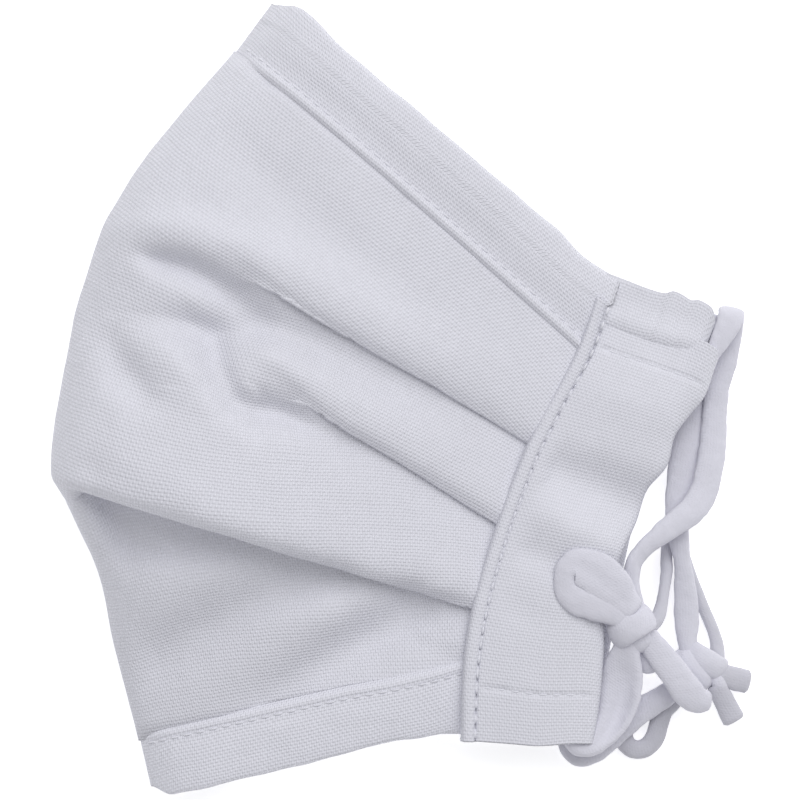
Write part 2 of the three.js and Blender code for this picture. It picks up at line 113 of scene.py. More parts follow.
# Side casings seen from above: (share of the side height, value). ridge: share of the bow,
# front and back: share of the casing width at which the right edge of each casing lies.
CASING_ROWS = {
    "ridge": [
        (-0.7, -0.05), (-0.5, -0.69), (-0.33, -0.98), (-0.07, -1.04), (0.19, -0.86),
        (0.49, -0.27), (0.72, -0.2),
    ],
    "front": [
        (-0.7, 0.95), (-0.5, 0.885), (-0.33, 0.79), (-0.25, 0.735), (-0.07, 0.7), (0.06, 0.735),
        (0.155, 0.74), (0.24, 0.822), (0.33, 0.812), (0.4, 0.868), (0.465, 0.93), (0.56, 0.94),
        (0.72, 0.97),
    ],
    "back": [
        (-0.7, 0.88), (-0.5, 0.9), (-0.33, 0.84), (-0.07, 0.75), (0.19, 0.72), (0.49, 0.81),
        (0.72, 0.86),
    ],
}

# Ends of the casings: (share of the casing's own width from its ridge, share of the side height
# at which that end lies). chin: both casings' chin end, front and back: their nose ends.
CASING_ENDS = {
    "chin": [
        (0, -0.708), (0.08, -0.701), (0.13, -0.694), (0.4, -0.67), (0.6, -0.652), (0.84, -0.618),
        (0.95, -0.605), (1, -0.6),
    ],
    "front": [
        (0, 0.648), (0.08, 0.64), (0.13, 0.636), (0.4, 0.63), (0.6, 0.628), (0.84, 0.62),
        (0.95, 0.61), (1, 0.6),
    ],
    "back": [
        (0, 0.715), (0.08, 0.722), (0.13, 0.722), (0.37, 0.716), (0.52, 0.718), (0.58, 0.731),
        (0.66, 0.729), (0.74, 0.722), (0.8, 0.729), (0.91, 0.72), (0.95, 0.705), (1, 0.675),
    ],
}

# Lines across the mask from the centre fold to a casing, from the nose edge to the chin edge.
# fold: share of the centre fold's length, side and bow: shares of the side height, crest and
# turn: shares of the crest height, layer: layers above the casing's level where it ends.
LINES = {row["name"]: row for row in named(
    "name fold side bow crest turn layer",
    ("seam_top", 0, 0.49, 0.012, 0.735, 0.17, 0.3),
    ("upper_high", 0.1, 0.42, 0.02, 0.755, 0.28, 0.55),
    ("upper_low", 0.19, 0.33, 0.035, 0.79, 0.34, 0.8),
    ("nose_1", 0.286, 0.18, 0.038, 0.87, 0.37, 1),
    ("middle_1", 0.41, 0.1, 0.11, 0.8, 0.38, 0),
    ("nose_2", 0.467, -0.076, 0.12, 0.905, 0.38, 1),
    ("middle_2", 0.565, -0.16, 0.07, 0.94, 0.4, 0),
    ("nose_3", 0.633, -0.328, 0, 1, 0.42, 1),
    ("lower_high", 0.77, -0.37, -0.01, 0.62, 0.28, -0.7),
    ("lower_low", 0.88, -0.43, -0.01, 0.43, 0.2, -0.6),
    ("seam_bottom", 1, -0.497, 0, 0.32, 0.15, -0.4),
)}

# Pleats. nose: the line that its folded edge follows, head: share of the way to the casing at
# which it closes, starts and grown: where its step begins and is whole, at_fold: its step at the
# centre fold and step: its step from nose to crease, in shares of the crest height, open and
# tuck: shares of the pleat depth by which it gapes at the fold and is tucked in beside it,
# round: millimetres by which its nose hangs down and lower: the line below it.
PLEATS = named(
    "nose head starts grown at_fold step open tuck round lower",
    ("nose_1", 0.17, 0.13, 0.54, 0, 0.12, 0, 0.05, 1.2, "middle_1"),
    ("nose_2", 0.38, 0.36, 0.64, 0, 0.12, 0, 0.05, 1.2, "middle_2"),
    ("nose_3", 0.03, 0, 0.12, 0.06, 0.36, 0.34, 0.28, 1.6, "lower_high"),
)

# Soft folds of the front half and of the front casing: rows of (x, y, half breadth, rise), in
# millimetres from the ridge middle. A dip or a hollow has a negative rise.
PANEL_FOLDS = [
    # first roll
    [(-86.1, 25.1, 2, 0.1), (-80.9, 27.1, 2.6, 0.8), (-74.9, 28.3, 3, 1.2),
     (-61.2, 28.2, 4.2, 1.2), (-44.1, 26.3, 5.4, 1), (-24.6, 22.4, 5.4, 0.7), (-7, 18.7, 5, 0.2)],
    # hollow under its head
    [(-79.2, 21.8, 2, -0.9), (-75.5, 21.6, 2.3, -3.2), (-70.9, 22, 2.5, -3.8),
     (-65.9, 21.2, 3, -3.8), (-61, 19.7, 3.6, -3.6), (-56.9, 18.2, 3, -1.8)],
    # second hollow
    [(-75.6, 10.5, 2.2, -0.3), (-72.2, 11.2, 2.6, -0.9), (-67.4, 12, 3.4, -2.8),
     (-62.3, 12.3, 4, -3.8), (-58.7, 13.6, 4, -3), (-54.8, 16.3, 3.4, -2.4),
     (-50.2, 16.7, 2.8, -1.6), (-42.5, 15.5, 2.6, -1.1), (-32.7, 13.5, 2.8, -1.1),
     (-21.3, 12, 2.2, -0.4)],
    # hollow towards the second pleat
    [(-62.5, 10.6, 2.8, -1.6), (-61.3, 8.4, 3.2, -3), (-58.9, 5.5, 3.2, -3.2),
     (-55.5, 2.2, 2.8, -2.2), (-51.3, -0.5, 2.2, -0.5)],
    # ridge left of it
    [(-71, 9.7, 2.4, 0.2), (-68.1, 7.4, 2.6, 0.4), (-64.1, 3.9, 2.6, 0.4), (-60, 0.4, 2.2, 0.2)],
    # roll above the second pleat
    [(-56.9, 12.4, 2.6, 0.8), (-52.4, 12, 3, 1.4), (-46.4, 10.6, 3.2, 1.2),
     (-33.1, 8.8, 3.4, 0.7), (-17.6, 6.2, 3.4, 0.4)],
    # long dent on the left
    [(-84.3, 7.7, 2.6, -0.8), (-80.2, 5.3, 3.8, -2.2), (-75, 1.5, 4.2, -2.7),
     (-70.4, -1.4, 3.6, -1.9), (-66.4, -2.7, 2.6, -0.5)],
    # hollow at the second head
    [(-54, 2.3, 2.6, -1.4), (-50.8, 2.6, 3.4, -4.2), (-47.3, 3, 3.2, -4.2),
     (-43.5, 2.6, 2.6, -2.6), (-39.3, 1.9, 2, -1), (-28.6, 0.5, 2, -0.3)],
    # dip under the second pleat
    [(-43.6, 1.6, 2.2, -0.3), (-33.9, -0.1, 2.6, -0.6), (-20.4, -2.4, 2.6, -0.5),
     (-8.8, -4.2, 2.4, -0.2)],
    # dip over the third pleat
    [(-81.2, -16.9, 2.6, -0.6), (-76.3, -16.4, 2.8, -1), (-69.7, -16.9, 2.8, -0.6),
     (-63.1, -17.4, 2.4, -0.2)],
    # dip beside the nose hem
    [(-75.4, 47.8, 4.4, -0.4), (-60.2, 40.2, 5, -1), (-43.6, 31.6, 5, -1),
     (-24.5, 24.5, 4, -0.3)],
    # hollow over the third pleat
    [(-79.7, -24.1, 3, -1.2), (-72.2, -23.5, 4, -2.2), (-63.1, -23.4, 4, -2.2),
     (-54.1, -22.9, 3.4, -1.6), (-41.4, -22.6, 2.6, -1.1), (-26.9, -22, 2, -0.7),
     (-12.6, -21.3, 1.6, -0.5)],
    # hollow under the third pleat's head
    [(-76.9, -29.4, 3.2, -2), (-73.8, -29.9, 3.8, -3.4), (-70.3, -29.5, 3.6, -3.6),
     (-65.4, -27.4, 2.8, -2.6), (-59, -25.9, 2.2, -1.4), (-51.3, -24.8, 2, -0.5)],
    # first hollow across the chin
    [(-29.6, -21.7, 3.4, -1.6), (-36.5, -25.2, 4.8, -3.4), (-42.7, -29.9, 5.6, -3.8),
     (-48.7, -36.4, 5.6, -3.5), (-53.8, -43.5, 5, -2.9), (-57.4, -49.2, 4, -1.8),
     (-59.4, -52.4, 3, -0.8)],
    # second hollow across the chin
    [(-9.5, -21.8, 3.2, -1.4), (-15.6, -24.3, 5, -4), (-21.2, -29.9, 5, -3.9),
     (-26.5, -36.1, 4.5, -3), (-32, -42.4, 3.8, -2), (-37.8, -47.7, 2.8, -0.6)],
    # swell beside the casing
    [(-6, -21.2, 1.8, 0.2), (-5.6, -23.6, 2.2, 0.8), (-5.1, -26.2, 2.2, 0.9),
     (-4.6, -28.4, 2, 0.4)],
    # puckers below the nose hem
    [(-40, 45.5, 1, -0.2), (-38.3, 43.9, 1, -0.5), (-38.1, 42.1, 1.2, -0.1)],
    # pucker at the nose hem near the centre fold
    [(-68.4, 58.1, 1.2, -0.2), (-66.6, 56.8, 1.2, -0.45), (-66.5, 54.3, 1.4, -0.1)],
]
CASING_FOLDS = [
    # long dip
    [(-4.1, 8.6, 2.6, -0.4), (1.3, 7.8, 4.2, -1.8), (8.1, 7, 5, -2.8), (15, 6.1, 5, -2.8),
     (20.3, 5.4, 4.4, -2)],
    # swell above it
    [(-0.5, 21.5, 3, 0.1), (7, 22, 3.4, 0.2), (15.9, 21.6, 3.2, 0.3), (21.6, 20.8, 2.6, 0.2)],
    # swell below it
    [(-2.6, -0.7, 2.4, 0.2), (3.9, -0.5, 3, 0.7), (10.7, -1.3, 3, 0.8), (16.5, -2.3, 2.6, 0.3)],
    # second dip
    [(-4.5, -7.6, 2.2, -0.3), (1.4, -7.5, 2.8, -0.8), (8, -7.6, 2.8, -0.8),
     (13.7, -7.3, 2.4, -0.3)],
    # third dip
    [(-0.8, -18.1, 2.6, -0.1), (4.6, -17.8, 3, -0.4), (10, -17.6, 2.6, -0.1)],
]


def mix(start, end, share):
    return start + (end - start) * share


def smooth(start, end, value):
    share = min(1.0, max(0.0, (value - start) / (end - start)))
    return share * share * (3 - 2 * share)


def bump(middle, half, value):
    """A smooth bump of height 1 round its middle."""
    return math.exp(-(((value - middle) / half) ** 2))


def curve(start, end, slope_start, slope_end, share):
    """A smooth way from start to end that leaves and arrives with the given slopes."""
    square = share * share
    cube = square * share
    return (
        start * (2 * cube - 3 * square + 1)
        + slope_start * (cube - 2 * square + share)
        + end * (3 * square - 2 * cube)
        + slope_end * (cube - square)
    )


def tabled(pairs, value):
    """A smooth value from a table of (place, value) pairs."""
    low = 0
    while low < len(pairs) - 2 and value > pairs[low + 1][0]:
        low += 1
    before = pairs[max(0, low - 1)]
    start, end = pairs[low:low + 2]
    after = pairs[min(len(pairs) - 1, low + 2)]
    span = end[0] - start[0]
    share = min(1.0, max(0.0, (value - start[0]) / span))
    slope_start = (end[1] - before[1]) / (end[0] - before[0]) * span
    slope_end = (after[1] - start[1]) / (after[0] - start[0]) * span
    return curve(start[1], end[1], slope_start, slope_end, share)


class Route:
    """A smooth centripetal curve through points, looked up by its share of length."""

    def __init__(self, points, fine=24):
        self.places = [Vector(point) for point in points]
        self.line = []
        for index in range(len(self.places) - 1):
            for step in range(fine):
                self.line.append(self.piece(index, step / fine))
        self.line.append(self.places[-1].copy())
        self.lengths = [0.0]
        for start, end in zip(self.line, self.line[1:]):
            self.lengths.append(self.lengths[-1] + (end - start).length)
        self.length = self.lengths[-1]

    def piece(self, index, share):
        start = self.places[index]
        end = self.places[index + 1]
        before = self.places[index - 1] if index else start * 2 - end
        last = index + 2 >= len(self.places)
        after = end * 2 - start if last else self.places[index + 2]
        gap_before = max((start - before).length, 1e-9) ** 0.5
        gap = max((end - start).length, 1e-9) ** 0.5
        gap_after = max((after - end).length, 1e-9) ** 0.5
        slope_start = (
            (start - before) / gap_before
            - (end - before) / (gap_before + gap)
            + (end - start) / gap
        ) * gap
        slope_end = (
            (end - start) / gap
            - (after - start) / (gap + gap_after)
            + (after - end) / gap_after
        ) * gap
        return curve(start, end, slope_start, slope_end, share)

    def at(self, share):
        want = min(1.0, max(0.0, share)) * self.length
        low = min(bisect_right(self.lengths, want) - 1, len(self.lengths) - 2)
        span = max(self.lengths[low + 1] - self.lengths[low], 1e-12)
        return self.line[low].lerp(self.line[low + 1], (want - self.lengths[low]) / span)

    def tangent(self, share):
        step = 0.002
        return (self.at(min(1.0, share + step)) - self.at(max(0.0, share - step))).normalized()


# Materials

def new_material(name, roughness, sheen):
    material = bpy.data.materials.new(name)
    material.use_nodes = True
    shader = material.node_tree.nodes["Principled BSDF"]
    shader.inputs["Roughness"].default_value = roughness
    shader.inputs["Specular IOR Level"].default_value = 0.25
    shader.inputs["Sheen Weight"].default_value = sheen
    shader.inputs["Sheen Roughness"].default_value = 0.6
    return material, shader


def tinted(shade, factor):
    return tuple(min(1.0, factor * part) for part in shade)


class Fabric:
    """A material whose shader nodes are added and joined up step by step."""

    def __init__(self, name, roughness, sheen):
        self.material, self.shader = new_material(name, roughness, sheen)
        self.tree = self.material.node_tree
        self.body = self.add("ShaderNodeTexCoord", output="Object")

    def add(self, kind, inputs=(), output=0, **settings):
        """One of a new node's outputs. Its inputs are joined to sockets or set to values."""
        node = self.tree.nodes.new(kind)
        for name, value in settings.items():
            setattr(node, name, value)
        for key, value in dict(inputs).items():
            if isinstance(value, bpy.types.NodeSocket):
                self.tree.links.new(value, node.inputs[key])
            else:
                node.inputs[key].default_value = value
        return node.outputs[output]

    def maths(self, operation, *values):
        return self.add("ShaderNodeMath", dict(enumerate(values)), operation=operation)

    def weighted(self, value, weight, *others):
        """The sum of values, each followed by its weight."""
        part = self.maths("MULTIPLY", value, weight)
        return self.maths("ADD", part, self.weighted(*others)) if others else part

    def ribs(self, place, turns):
        return self.maths("SINE", self.maths("MULTIPLY", place, turns))

    def axes(self, place):
        node = self.tree.nodes.new("ShaderNodeSeparateXYZ")
        self.tree.links.new(place, node.inputs[0])
        return node.outputs[0], node.outputs[1]

    def noise_of(self, place, scale, detail, roughness=0.5):
        return self.add(
            "ShaderNodeTexNoise",
            {"Vector": place, "Scale": scale, "Detail": detail, "Roughness": roughness},
        )

    def emboss(self, height, strength, depth):
        raised = self.add(
            "ShaderNodeBump", {"Height": height, "Strength": strength, "Distance": depth}
        )
        self.tree.links.new(raised, self.shader.inputs["Normal"])

    def paint(self, tone, dark, light):
        """Base colour from dark to light, by a tone from 0 to 1."""
        colour = self.add(
            "ShaderNodeMix", {0: tone, 6: (*dark, 1), 7: (*light, 1)}, 2, data_type="RGBA"
        )
        self.tree.links.new(colour, self.shader.inputs["Base Color"])


# How far the threads wander, and how coarse their thick and thin places are each way
THREAD_DRIFT = 0.0006
SLUB_SCALES = ((2400, 260, 1), (260, 1700, 1))
# Tones of the weave that are painted darkest and lightest
WEAVE_TONES = (0.06, 0.36)
# Sizes of a knitted loop along the elastic and round it
LOOP_PITCH = 0.00055
WALE_PITCH = 0.0005


def woven_cotton(name, shade, relief_depth, turned_round=False):
    """Plain weave: rows of weft ride over and under finer warp, along the cloth's UV map."""
    make = Fabric(name, 0.92, 0.08)
    cloth = make.add("ShaderNodeUVMap", uv_map="cloth")
    if turned_round:
        cloth = make.add("ShaderNodeMapping", {"Vector": cloth, "Rotation": (0, 0, math.pi / 2)})
    across, along = make.axes(cloth)
    wander = make.maths("SUBTRACT", make.noise_of(cloth, 160, 2), 0.5)
    drift = make.maths("MULTIPLY", wander, THREAD_DRIFT)
    warp = make.ribs(make.maths("ADD", across, drift), math.pi / THREAD_PITCH_ACROSS)
    weft = make.ribs(make.maths("ADD", along, drift), math.pi / THREAD_PITCH_ALONG)
    crossing = make.maths("MULTIPLY", warp, weft)
    weave = make.weighted(
        crossing, 0.3, make.maths("ABSOLUTE", warp), 0.36, make.maths("ABSOLUTE", weft), 0.42
    )
    slubs = [
        make.noise_of(make.add("ShaderNodeMapping", {"Vector": cloth, "Scale": scale}), 1.0, 2)
        for scale in SLUB_SCALES
    ]
    threads = make.maths("ADD", *slubs)
    height = make.maths("ADD", weave, make.maths("MULTIPLY", threads, 0.35))
    make.emboss(height, 1.0, relief_depth)
    cloud = make.noise_of(make.body, 45, 3)
    # Colour: random clouds and thick and thin threads, which are the cloth's own, plus painted
    # shade in the weave: the gaps between threads are painted darker and the thread tops lighter.
    tone = make.weighted(cloud, 0.08, weave, 0.2, threads, 0.09)
    darkest, lightest = WEAVE_TONES
    tone = make.add("ShaderNodeMapRange", {0: tone, 1: darkest, 2: lightest, 3: 0.0, 4: 1.0})
    make.paint(tone, tinted(shade, 0.84), tinted(shade, 1.07))
    return make.material


def knitted_elastic(name, shade):
    """Soft fine knit: short slanted loops along the cord, under a light fuzz."""
    make = Fabric(name, 0.95, 0.2)
    along, round_it = make.axes(make.add("ShaderNodeUVMap", uv_map="cloth"))
    slant = make.maths("ADD", along, make.maths("MULTIPLY", round_it, 0.6))
    loops = make.ribs(slant, 2 * math.pi / LOOP_PITCH)
    wales = make.ribs(round_it, 2 * math.pi / WALE_PITCH)
    knit = make.weighted(loops, 0.1, wales, 0.07)
    fuzz = make.noise_of(make.body, 2400, 3, 0.7)
    soft = make.noise_of(make.body, 420, 3)
    fluff = make.maths("ADD", fuzz, make.maths("MULTIPLY", soft, 2.4))
    make.emboss(make.maths("ADD", knit, fluff), 0.8, 0.00012)
    make.paint(make.weighted(fuzz, 0.5, soft, 0.5), tinted(shade, 0.93), tinted(shade, 1.05))
    return make.material


def sewing_thread(name, shade):
    """Twisted cotton thread: fine uneven turns."""
    make = Fabric(name, 0.8, 0.15)
    turns = make.noise_of(make.body, 5200, 2)
    make.emboss(turns, 0.5, 0.00004)
    make.paint(turns, tinted(shade, 0.9), shade)
    return make.material


COTTON_SHADE = (0.735, 0.735, 0.80)
ELASTIC_SHADE = (0.68, 0.675, 0.75)
WEAVE_RELIEF = 0.00015
cotton = woven_cotton("cotton_plain_weave", COTTON_SHADE, WEAVE_RELIEF)
# The casings' cotton is the panel's cotton painted a little darker: painted shade.
cotton_casing_painted_shade = woven_cotton(
    "cotton_plain_weave_casing_painted_shade", tinted(COTTON_SHADE, 0.985), 0.8 * WEAVE_RELIEF, turned_round=True
)
# The chin hem's cotton is the same cotton painted lighter: painted light on a hem that leans away
# from the key light.
cotton_chin_painted_light = woven_cotton("cotton_plain_weave_chin_painted_light", tinted(COTTON_SHADE, 1.06), WEAVE_RELIEF)
elastic = knitted_elastic("elastic_soft_knit", ELASTIC_SHADE)
# The back cord's elastic is the same elastic painted a little darker: painted shade where it lies
# lower.
elastic_back_painted_shade = knitted_elastic("elastic_soft_knit_back_painted_shade", tinted(ELASTIC_SHADE, 0.97))
elastic_shaded = knitted_elastic("elastic_soft_knit_shaded", tinted(ELASTIC_SHADE, 0.78))
# The back bow's and back tails' elastic is the same elastic painted darker: painted shade where
# they lie low beside the mask. The loop's elastic_shaded is painted darker still.
elastic_painted_shade = knitted_elastic("elastic_soft_knit_painted_shade", tinted(ELASTIC_SHADE, 0.84))
thread = sewing_thread("cotton_thread", (0.76, 0.76, 0.82))


# Camera, floor and light

PICTURE_PLANE = 0.010
CAMERA_AWAY = 1.2
SENSOR = 36.0
picture_width = PHOTO_SIDE * PHOTO_SCALE
camera_data = bpy.data.cameras.new("camera")
camera_data.sensor_width = SENSOR
camera_data.lens = SENSOR * CAMERA_AWAY / picture_width
camera_data.clip_start = 0.05
camera_data.clip_end = 10
camera = bpy.data.objects.new("camera", camera_data)
bpy.context.scene.collection.objects.link(camera)
aim = pixel_place(PHOTO_SIDE / 2, PHOTO_SIDE / 2)
turn = Matrix((PHOTO_RIGHT, PHOTO_UP, Vector((0, 0, 1)))).transposed()
camera_place = aim + Vector((0, 0, PICTURE_PLANE + CAMERA_AWAY))
camera.matrix_world = Matrix.Translation(camera_place) @ turn.to_4x4()
bpy.context.scene.camera = camera


def area_light(name, towards, away, size, power):
    data = bpy.data.lights.new(name, "AREA")
    data.shape = "SQUARE"
    data.size = size
    data.energy = power
    light = bpy.data.objects.new(name, data)
    light.location = aim + towards.normalized() * away
    light.rotation_mode = "QUATERNION"
    light.rotation_quaternion = towards.normalized().to_track_quat("Z", "Y")
    bpy.context.scene.collection.objects.link(light)


UP = Vector((0, 0, 1))
area_light(
    "key_light", PHOTO_UP * 0.72 + PHOTO_RIGHT * 0.42 + UP * 1.05, away=1.0, size=0.85, power=6.3
)
area_light(
    "fill_light", PHOTO_RIGHT * -0.5 + PHOTO_UP * 0.1 + UP * 1.2, away=1.2, size=0.9, power=1.3
)

world = bpy.data.worlds.new("studio")
world.use_nodes = True
world.node_tree.nodes["Background"].inputs["Color"].default_value = (0.98, 0.985, 1.0, 1)
world.node_tree.nodes["Background"].inputs["Strength"].default_value = 0.47
bpy.context.scene.world = world
bpy.context.scene.view_settings.view_transform = "Standard"
bpy.context.scene.view_settings.look = "None"

floor_material, floor_shader = new_material("pale_floor", 0.9, 0.0)
floor_shader.inputs["Base Color"].default_value = (0.93, 0.93, 0.93, 1)
floor_shader.inputs["Emission Color"].default_value = (1, 1, 1, 1)
floor_shader.inputs["Emission Strength"].default_value = 0.5


def make_floor():
    shape = bmesh.new()
    bmesh.ops.create_grid(shape, x_segments=2, y_segments=2, size=1.5)
    bmesh.ops.translate(shape, verts=shape.verts, vec=(0, 0, -0.0002))
    mesh = bpy.data.meshes.new("floor")
    shape.to_mesh(mesh)
    shape.free()
    mesh.materials.append(floor_material)
    floor = bpy.data.objects.new("floor", mesh)
    bpy.context.scene.collection.objects.link(floor)


make_floor()


# Pieces from a grid that is laid out by a function

def finished(name, shape, material, node=None):
    """A piece from a shape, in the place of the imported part's node."""
    mesh = bpy.data.meshes.new(name)
    shape.to_mesh(mesh)
    shape.free()
    mesh.materials.append(material)
    mesh.shade_smooth()
    piece = bpy.data.objects.new(name, mesh)
    bpy.context.scene.collection.objects.link(piece)
    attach(piece, "root")
    if node:
        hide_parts(node)
    return piece


def add_part(shape, part):
    """Adds a closed part to a shape that holds several."""
    mesh = bpy.data.meshes.new("part")
    part.to_mesh(mesh)
    part.free()
    shape.from_mesh(mesh)
    bpy.data.meshes.remove(mesh)


def around(sides):
    """Cosine and sine of each place round a section."""
    turns = [2 * math.pi * number / sides for number in range(sides)]
    return [(math.cos(turn_by), math.sin(turn_by)) for turn_by in turns]


def wall(piece, offset):
    """Gives a cloth its thickness."""
    cloth = piece.modifiers.new("wall", "SOLIDIFY")
    cloth.thickness = CLOTH_THICKNESS
    cloth.offset = offset


# Columns past a pleat, on each side, from which its hidden length is measured
PLEAT_REACH = 6


def laid_grid(rows, pleats=(), level_rings=False, plain=None):
    """A bmesh grid whose points are set from rows of points. Its UV map follows the lengths.
    pleats: first and last column of each pleat, whose hidden length the map leaves out from its
    last column on. level_rings: the map's first axis is the same all round each row. plain: rows
    of points without soft folds, from which the lengths are taken."""
    measured = plain or rows
    count_along = len(rows)
    count_across = len(rows[0])
    shape = bmesh.new()
    bmesh.ops.create_grid(shape, x_segments=count_along - 1, y_segments=count_across - 1, size=1)
    shape.verts.ensure_lookup_table()
    layer = shape.loops.layers.uv.new("cloth")
    index_of = {
        vert: (
            round((vert.co.x + 1) / 2 * (count_along - 1)),
            round((vert.co.y + 1) / 2 * (count_across - 1)),
        )
        for vert in shape.verts
    }
    along = [[0.0] * count_across for _ in range(count_along)]
    across = [[0.0] * count_across for _ in range(count_along)]
    for row in range(count_along):
        for column in range(count_across):
            if row:
                step = (measured[row][column] - measured[row - 1][column]).length
                along[row][column] = along[row - 1][column] + step
            if column:
                step = (measured[row][column] - measured[row][column - 1]).length
                across[row][column] = across[row][column - 1] + step
    for vert, (row, column) in index_of.items():
        vert.co = rows[row][column]
    if level_rings:
        along = [[sum(lengths) / count_across] * count_across for lengths in along]
    hidden = [[0.0] * count_along]
    for first, last in pleats:
        before, after = first - PLEAT_REACH, last + PLEAT_REACH
        hidden.append([
            passed + lengths[after] - lengths[before] - (points[after] - points[before]).length
            for passed, lengths, points in zip(hidden[-1], across, measured)
        ])
    for face in shape.faces:
        start = min(index_of[vert][1] for vert in face.verts)
        passed = sum(1 for first, last in pleats if last <= start)
        for loop in face.loops:
            row, column = index_of[loop.vert]
            loop[layer].uv = (along[row][column], across[row][column] - hidden[passed][row])
    return shape


def closed_tube(rows, capped=True, level_rings=False, plain=None):
    """A grid whose first and last columns meet, welded, with its ends filled if capped."""
    shape = laid_grid(rows, level_rings=level_rings, plain=plain)
    bmesh.ops.remove_doubles(shape, verts=shape.verts, dist=1e-7)
    if capped:
        open_edges = [edge for edge in shape.edges if edge.is_boundary]
        bmesh.ops.holes_fill(shape, edges=open_edges, sides=0)
    bmesh.ops.recalc_face_normals(shape, faces=shape.faces)
    return shape


# Ear cords: soft knitted tubes that flatten and turn as they run. Rows of x, y, z, width and
# thickness in millimetres and, where they aren't nought, tilt in degrees and dip in shares of the
# half thickness.

FRONT_CORD = [
    (22.01, -16.15, 9.8, 4.4, 2.6), (22.59, -18.54, 9.4, 5, 2.4),
    (22.91, -21.01, 8.8, 6.6, 2.2, 6, 0.5), (23.53, -24.11, 8.4, 7.8, 2.2, 12, 1.3),
    (24.01, -27.64, 8.3, 7.6, 2.4, 16, 1.8), (23.96, -30.96, 8.3, 6.6, 2.6, 16, 1.6),
    (23.14, -34.15, 8.6, 5, 2.7, 8, 0.8), (21.66, -36.46, 9, 3.9, 2.7, 0, 0.2),
    (19.52, -37.17, 9.4, 3.2, 2.6), (17.6, -35.6, 9.6, 3, 2.6), (16.3, -32, 9, 3, 1.8),
    (15.3, -27, 9, 3, 1.8), (13.4, -19, 9, 3, 1.8), (11.6, -10, 9, 3, 1.8),
    (11.3, -3, 8.5, 3, 1.4), (12.2, 4, 8.5, 3, 1.4), (13.4, 11.4, 8.5, 3, 1.4),
    (15.2, 19, 9, 3, 1.8), (17.4, 26, 9, 3, 1.8), (19.6, 31, 9, 3, 1.8),
    (21.33, 35.78, 9.6, 3, 2.2), (21.68, 36.99, 9.6, 3.2, 2.1), (22.1, 39.14, 9.6, 3.8, 2),
    (22.43, 41.27, 9.5, 4.3, 1.8), (22.46, 42.93, 9.1, 4.5, 1.7), (22.35, 43.57, 8, 4.5, 1.7),
    (22.63, 42.98, 6.9, 4.4, 1.8), (23.34, 40.45, 6.3, 4.1, 1.8), (23.89, 36.96, 5.9, 4, 1.8),
    (24.15, 33.55, 5.6, 4, 1.8), (24.18, 30.25, 5.4, 4.1, 1.8), (24.75, 27.09, 5.2, 4.4, 1.9),
    (25.68, 23.32, 5.3, 4.5, 2), (26.6, 19.38, 5.6, 4.7, 2.1), (27.15, 15.49, 6.2, 4.9, 2.1),
    (27.3, 12, 6.6, 4.9, 2), (26.45, 8.5, 7.6, 4.8, 2), (24.71, 5.97, 8.3, 4.4, 2),
    (22.99, 3.51, 8.8, 4, 2.1), (21.48, 1.28, 9, 3.4, 2.2), (20.23, -0.86, 9.1, 3.1, 2.3),
    (19.41, -3.22, 9.2, 2.9, 2.4), (19.51, -5.58, 9.4, 3, 2.4), (20.24, -7.91, 9.6, 3.2, 2.4),
    (21.39, -10.11, 9.8, 3.4, 2.4), (22.69, -11.9, 9.8, 3.4, 2.2),
]
BACK_CORD = [
    (34.14, -19.65, 4.2, 3.4, 2.2), (33.1, -22.3, 4.2, 3.7, 2.2), (31.6, -24.5, 4, 4.1, 2.2),
    (29.7, -26.7, 3.8, 4.4, 2.2), (27.92, -28.97, 3.6, 4.7, 2.2), (26.27, -31.87, 3.4, 4.5, 2.2),
    (24.62, -34.78, 3.2, 4.2, 2.2), (22.99, -37.69, 3.2, 3.6, 2.2), (20.7, -39.17, 3, 3.4, 2.2),
    (18.37, -38.2, 2.8, 3.2, 2.4), (16.9, -34.5, 2.8, 3, 2.4), (15, -28, 2.8, 3, 2.4),
    (13, -19, 2.8, 3, 2.4), (11.6, -10, 2.8, 3, 2.4), (11.5, -3, 2.8, 3, 2.4),
    (12, 4, 2.8, 3, 2.4), (12.8, 11.4, 2.8, 3, 2.4), (14, 19, 2.8, 3, 2.4),
    (15.4, 27, 2.8, 3, 2.2), (16.1, 33, 3.6, 3, 2.2), (16.9, 37, 5.7, 3, 2),
    (18.4, 39.9, 6.3, 3, 2), (20.3, 40.9, 5.7, 3, 2), (21.8, 39.5, 4.4, 3, 2),
    (22, 36, 3.2, 3, 2), (21.1, 31.7, 3.3, 3.8, 2), (21, 27.4, 3.8, 4.8, 1.9),
    (21.6, 23, 4.1, 5.3, 1.8), (22.3, 18.5, 4.3, 5.4, 1.8), (22.8, 14, 4.4, 5.2, 1.8),
    (23.42, 9.53, 4.5, 4.4, 1.8), (24.59, 5.48, 4.5, 4, 1.9), (26.3, 1.79, 4.3, 3.4, 2),
    (27.63, -0.93, 4, 3, 2.2), (28.94, -3.84, 3.7, 3.6, 2.2), (30.27, -7.12, 3.5, 4.3, 2.1),
    (31.41, -10.45, 3.5, 4.3, 2.1), (32.44, -13.43, 3.8, 3.6, 2.2), (33.62, -16.01, 4, 3.2, 2.2),
]
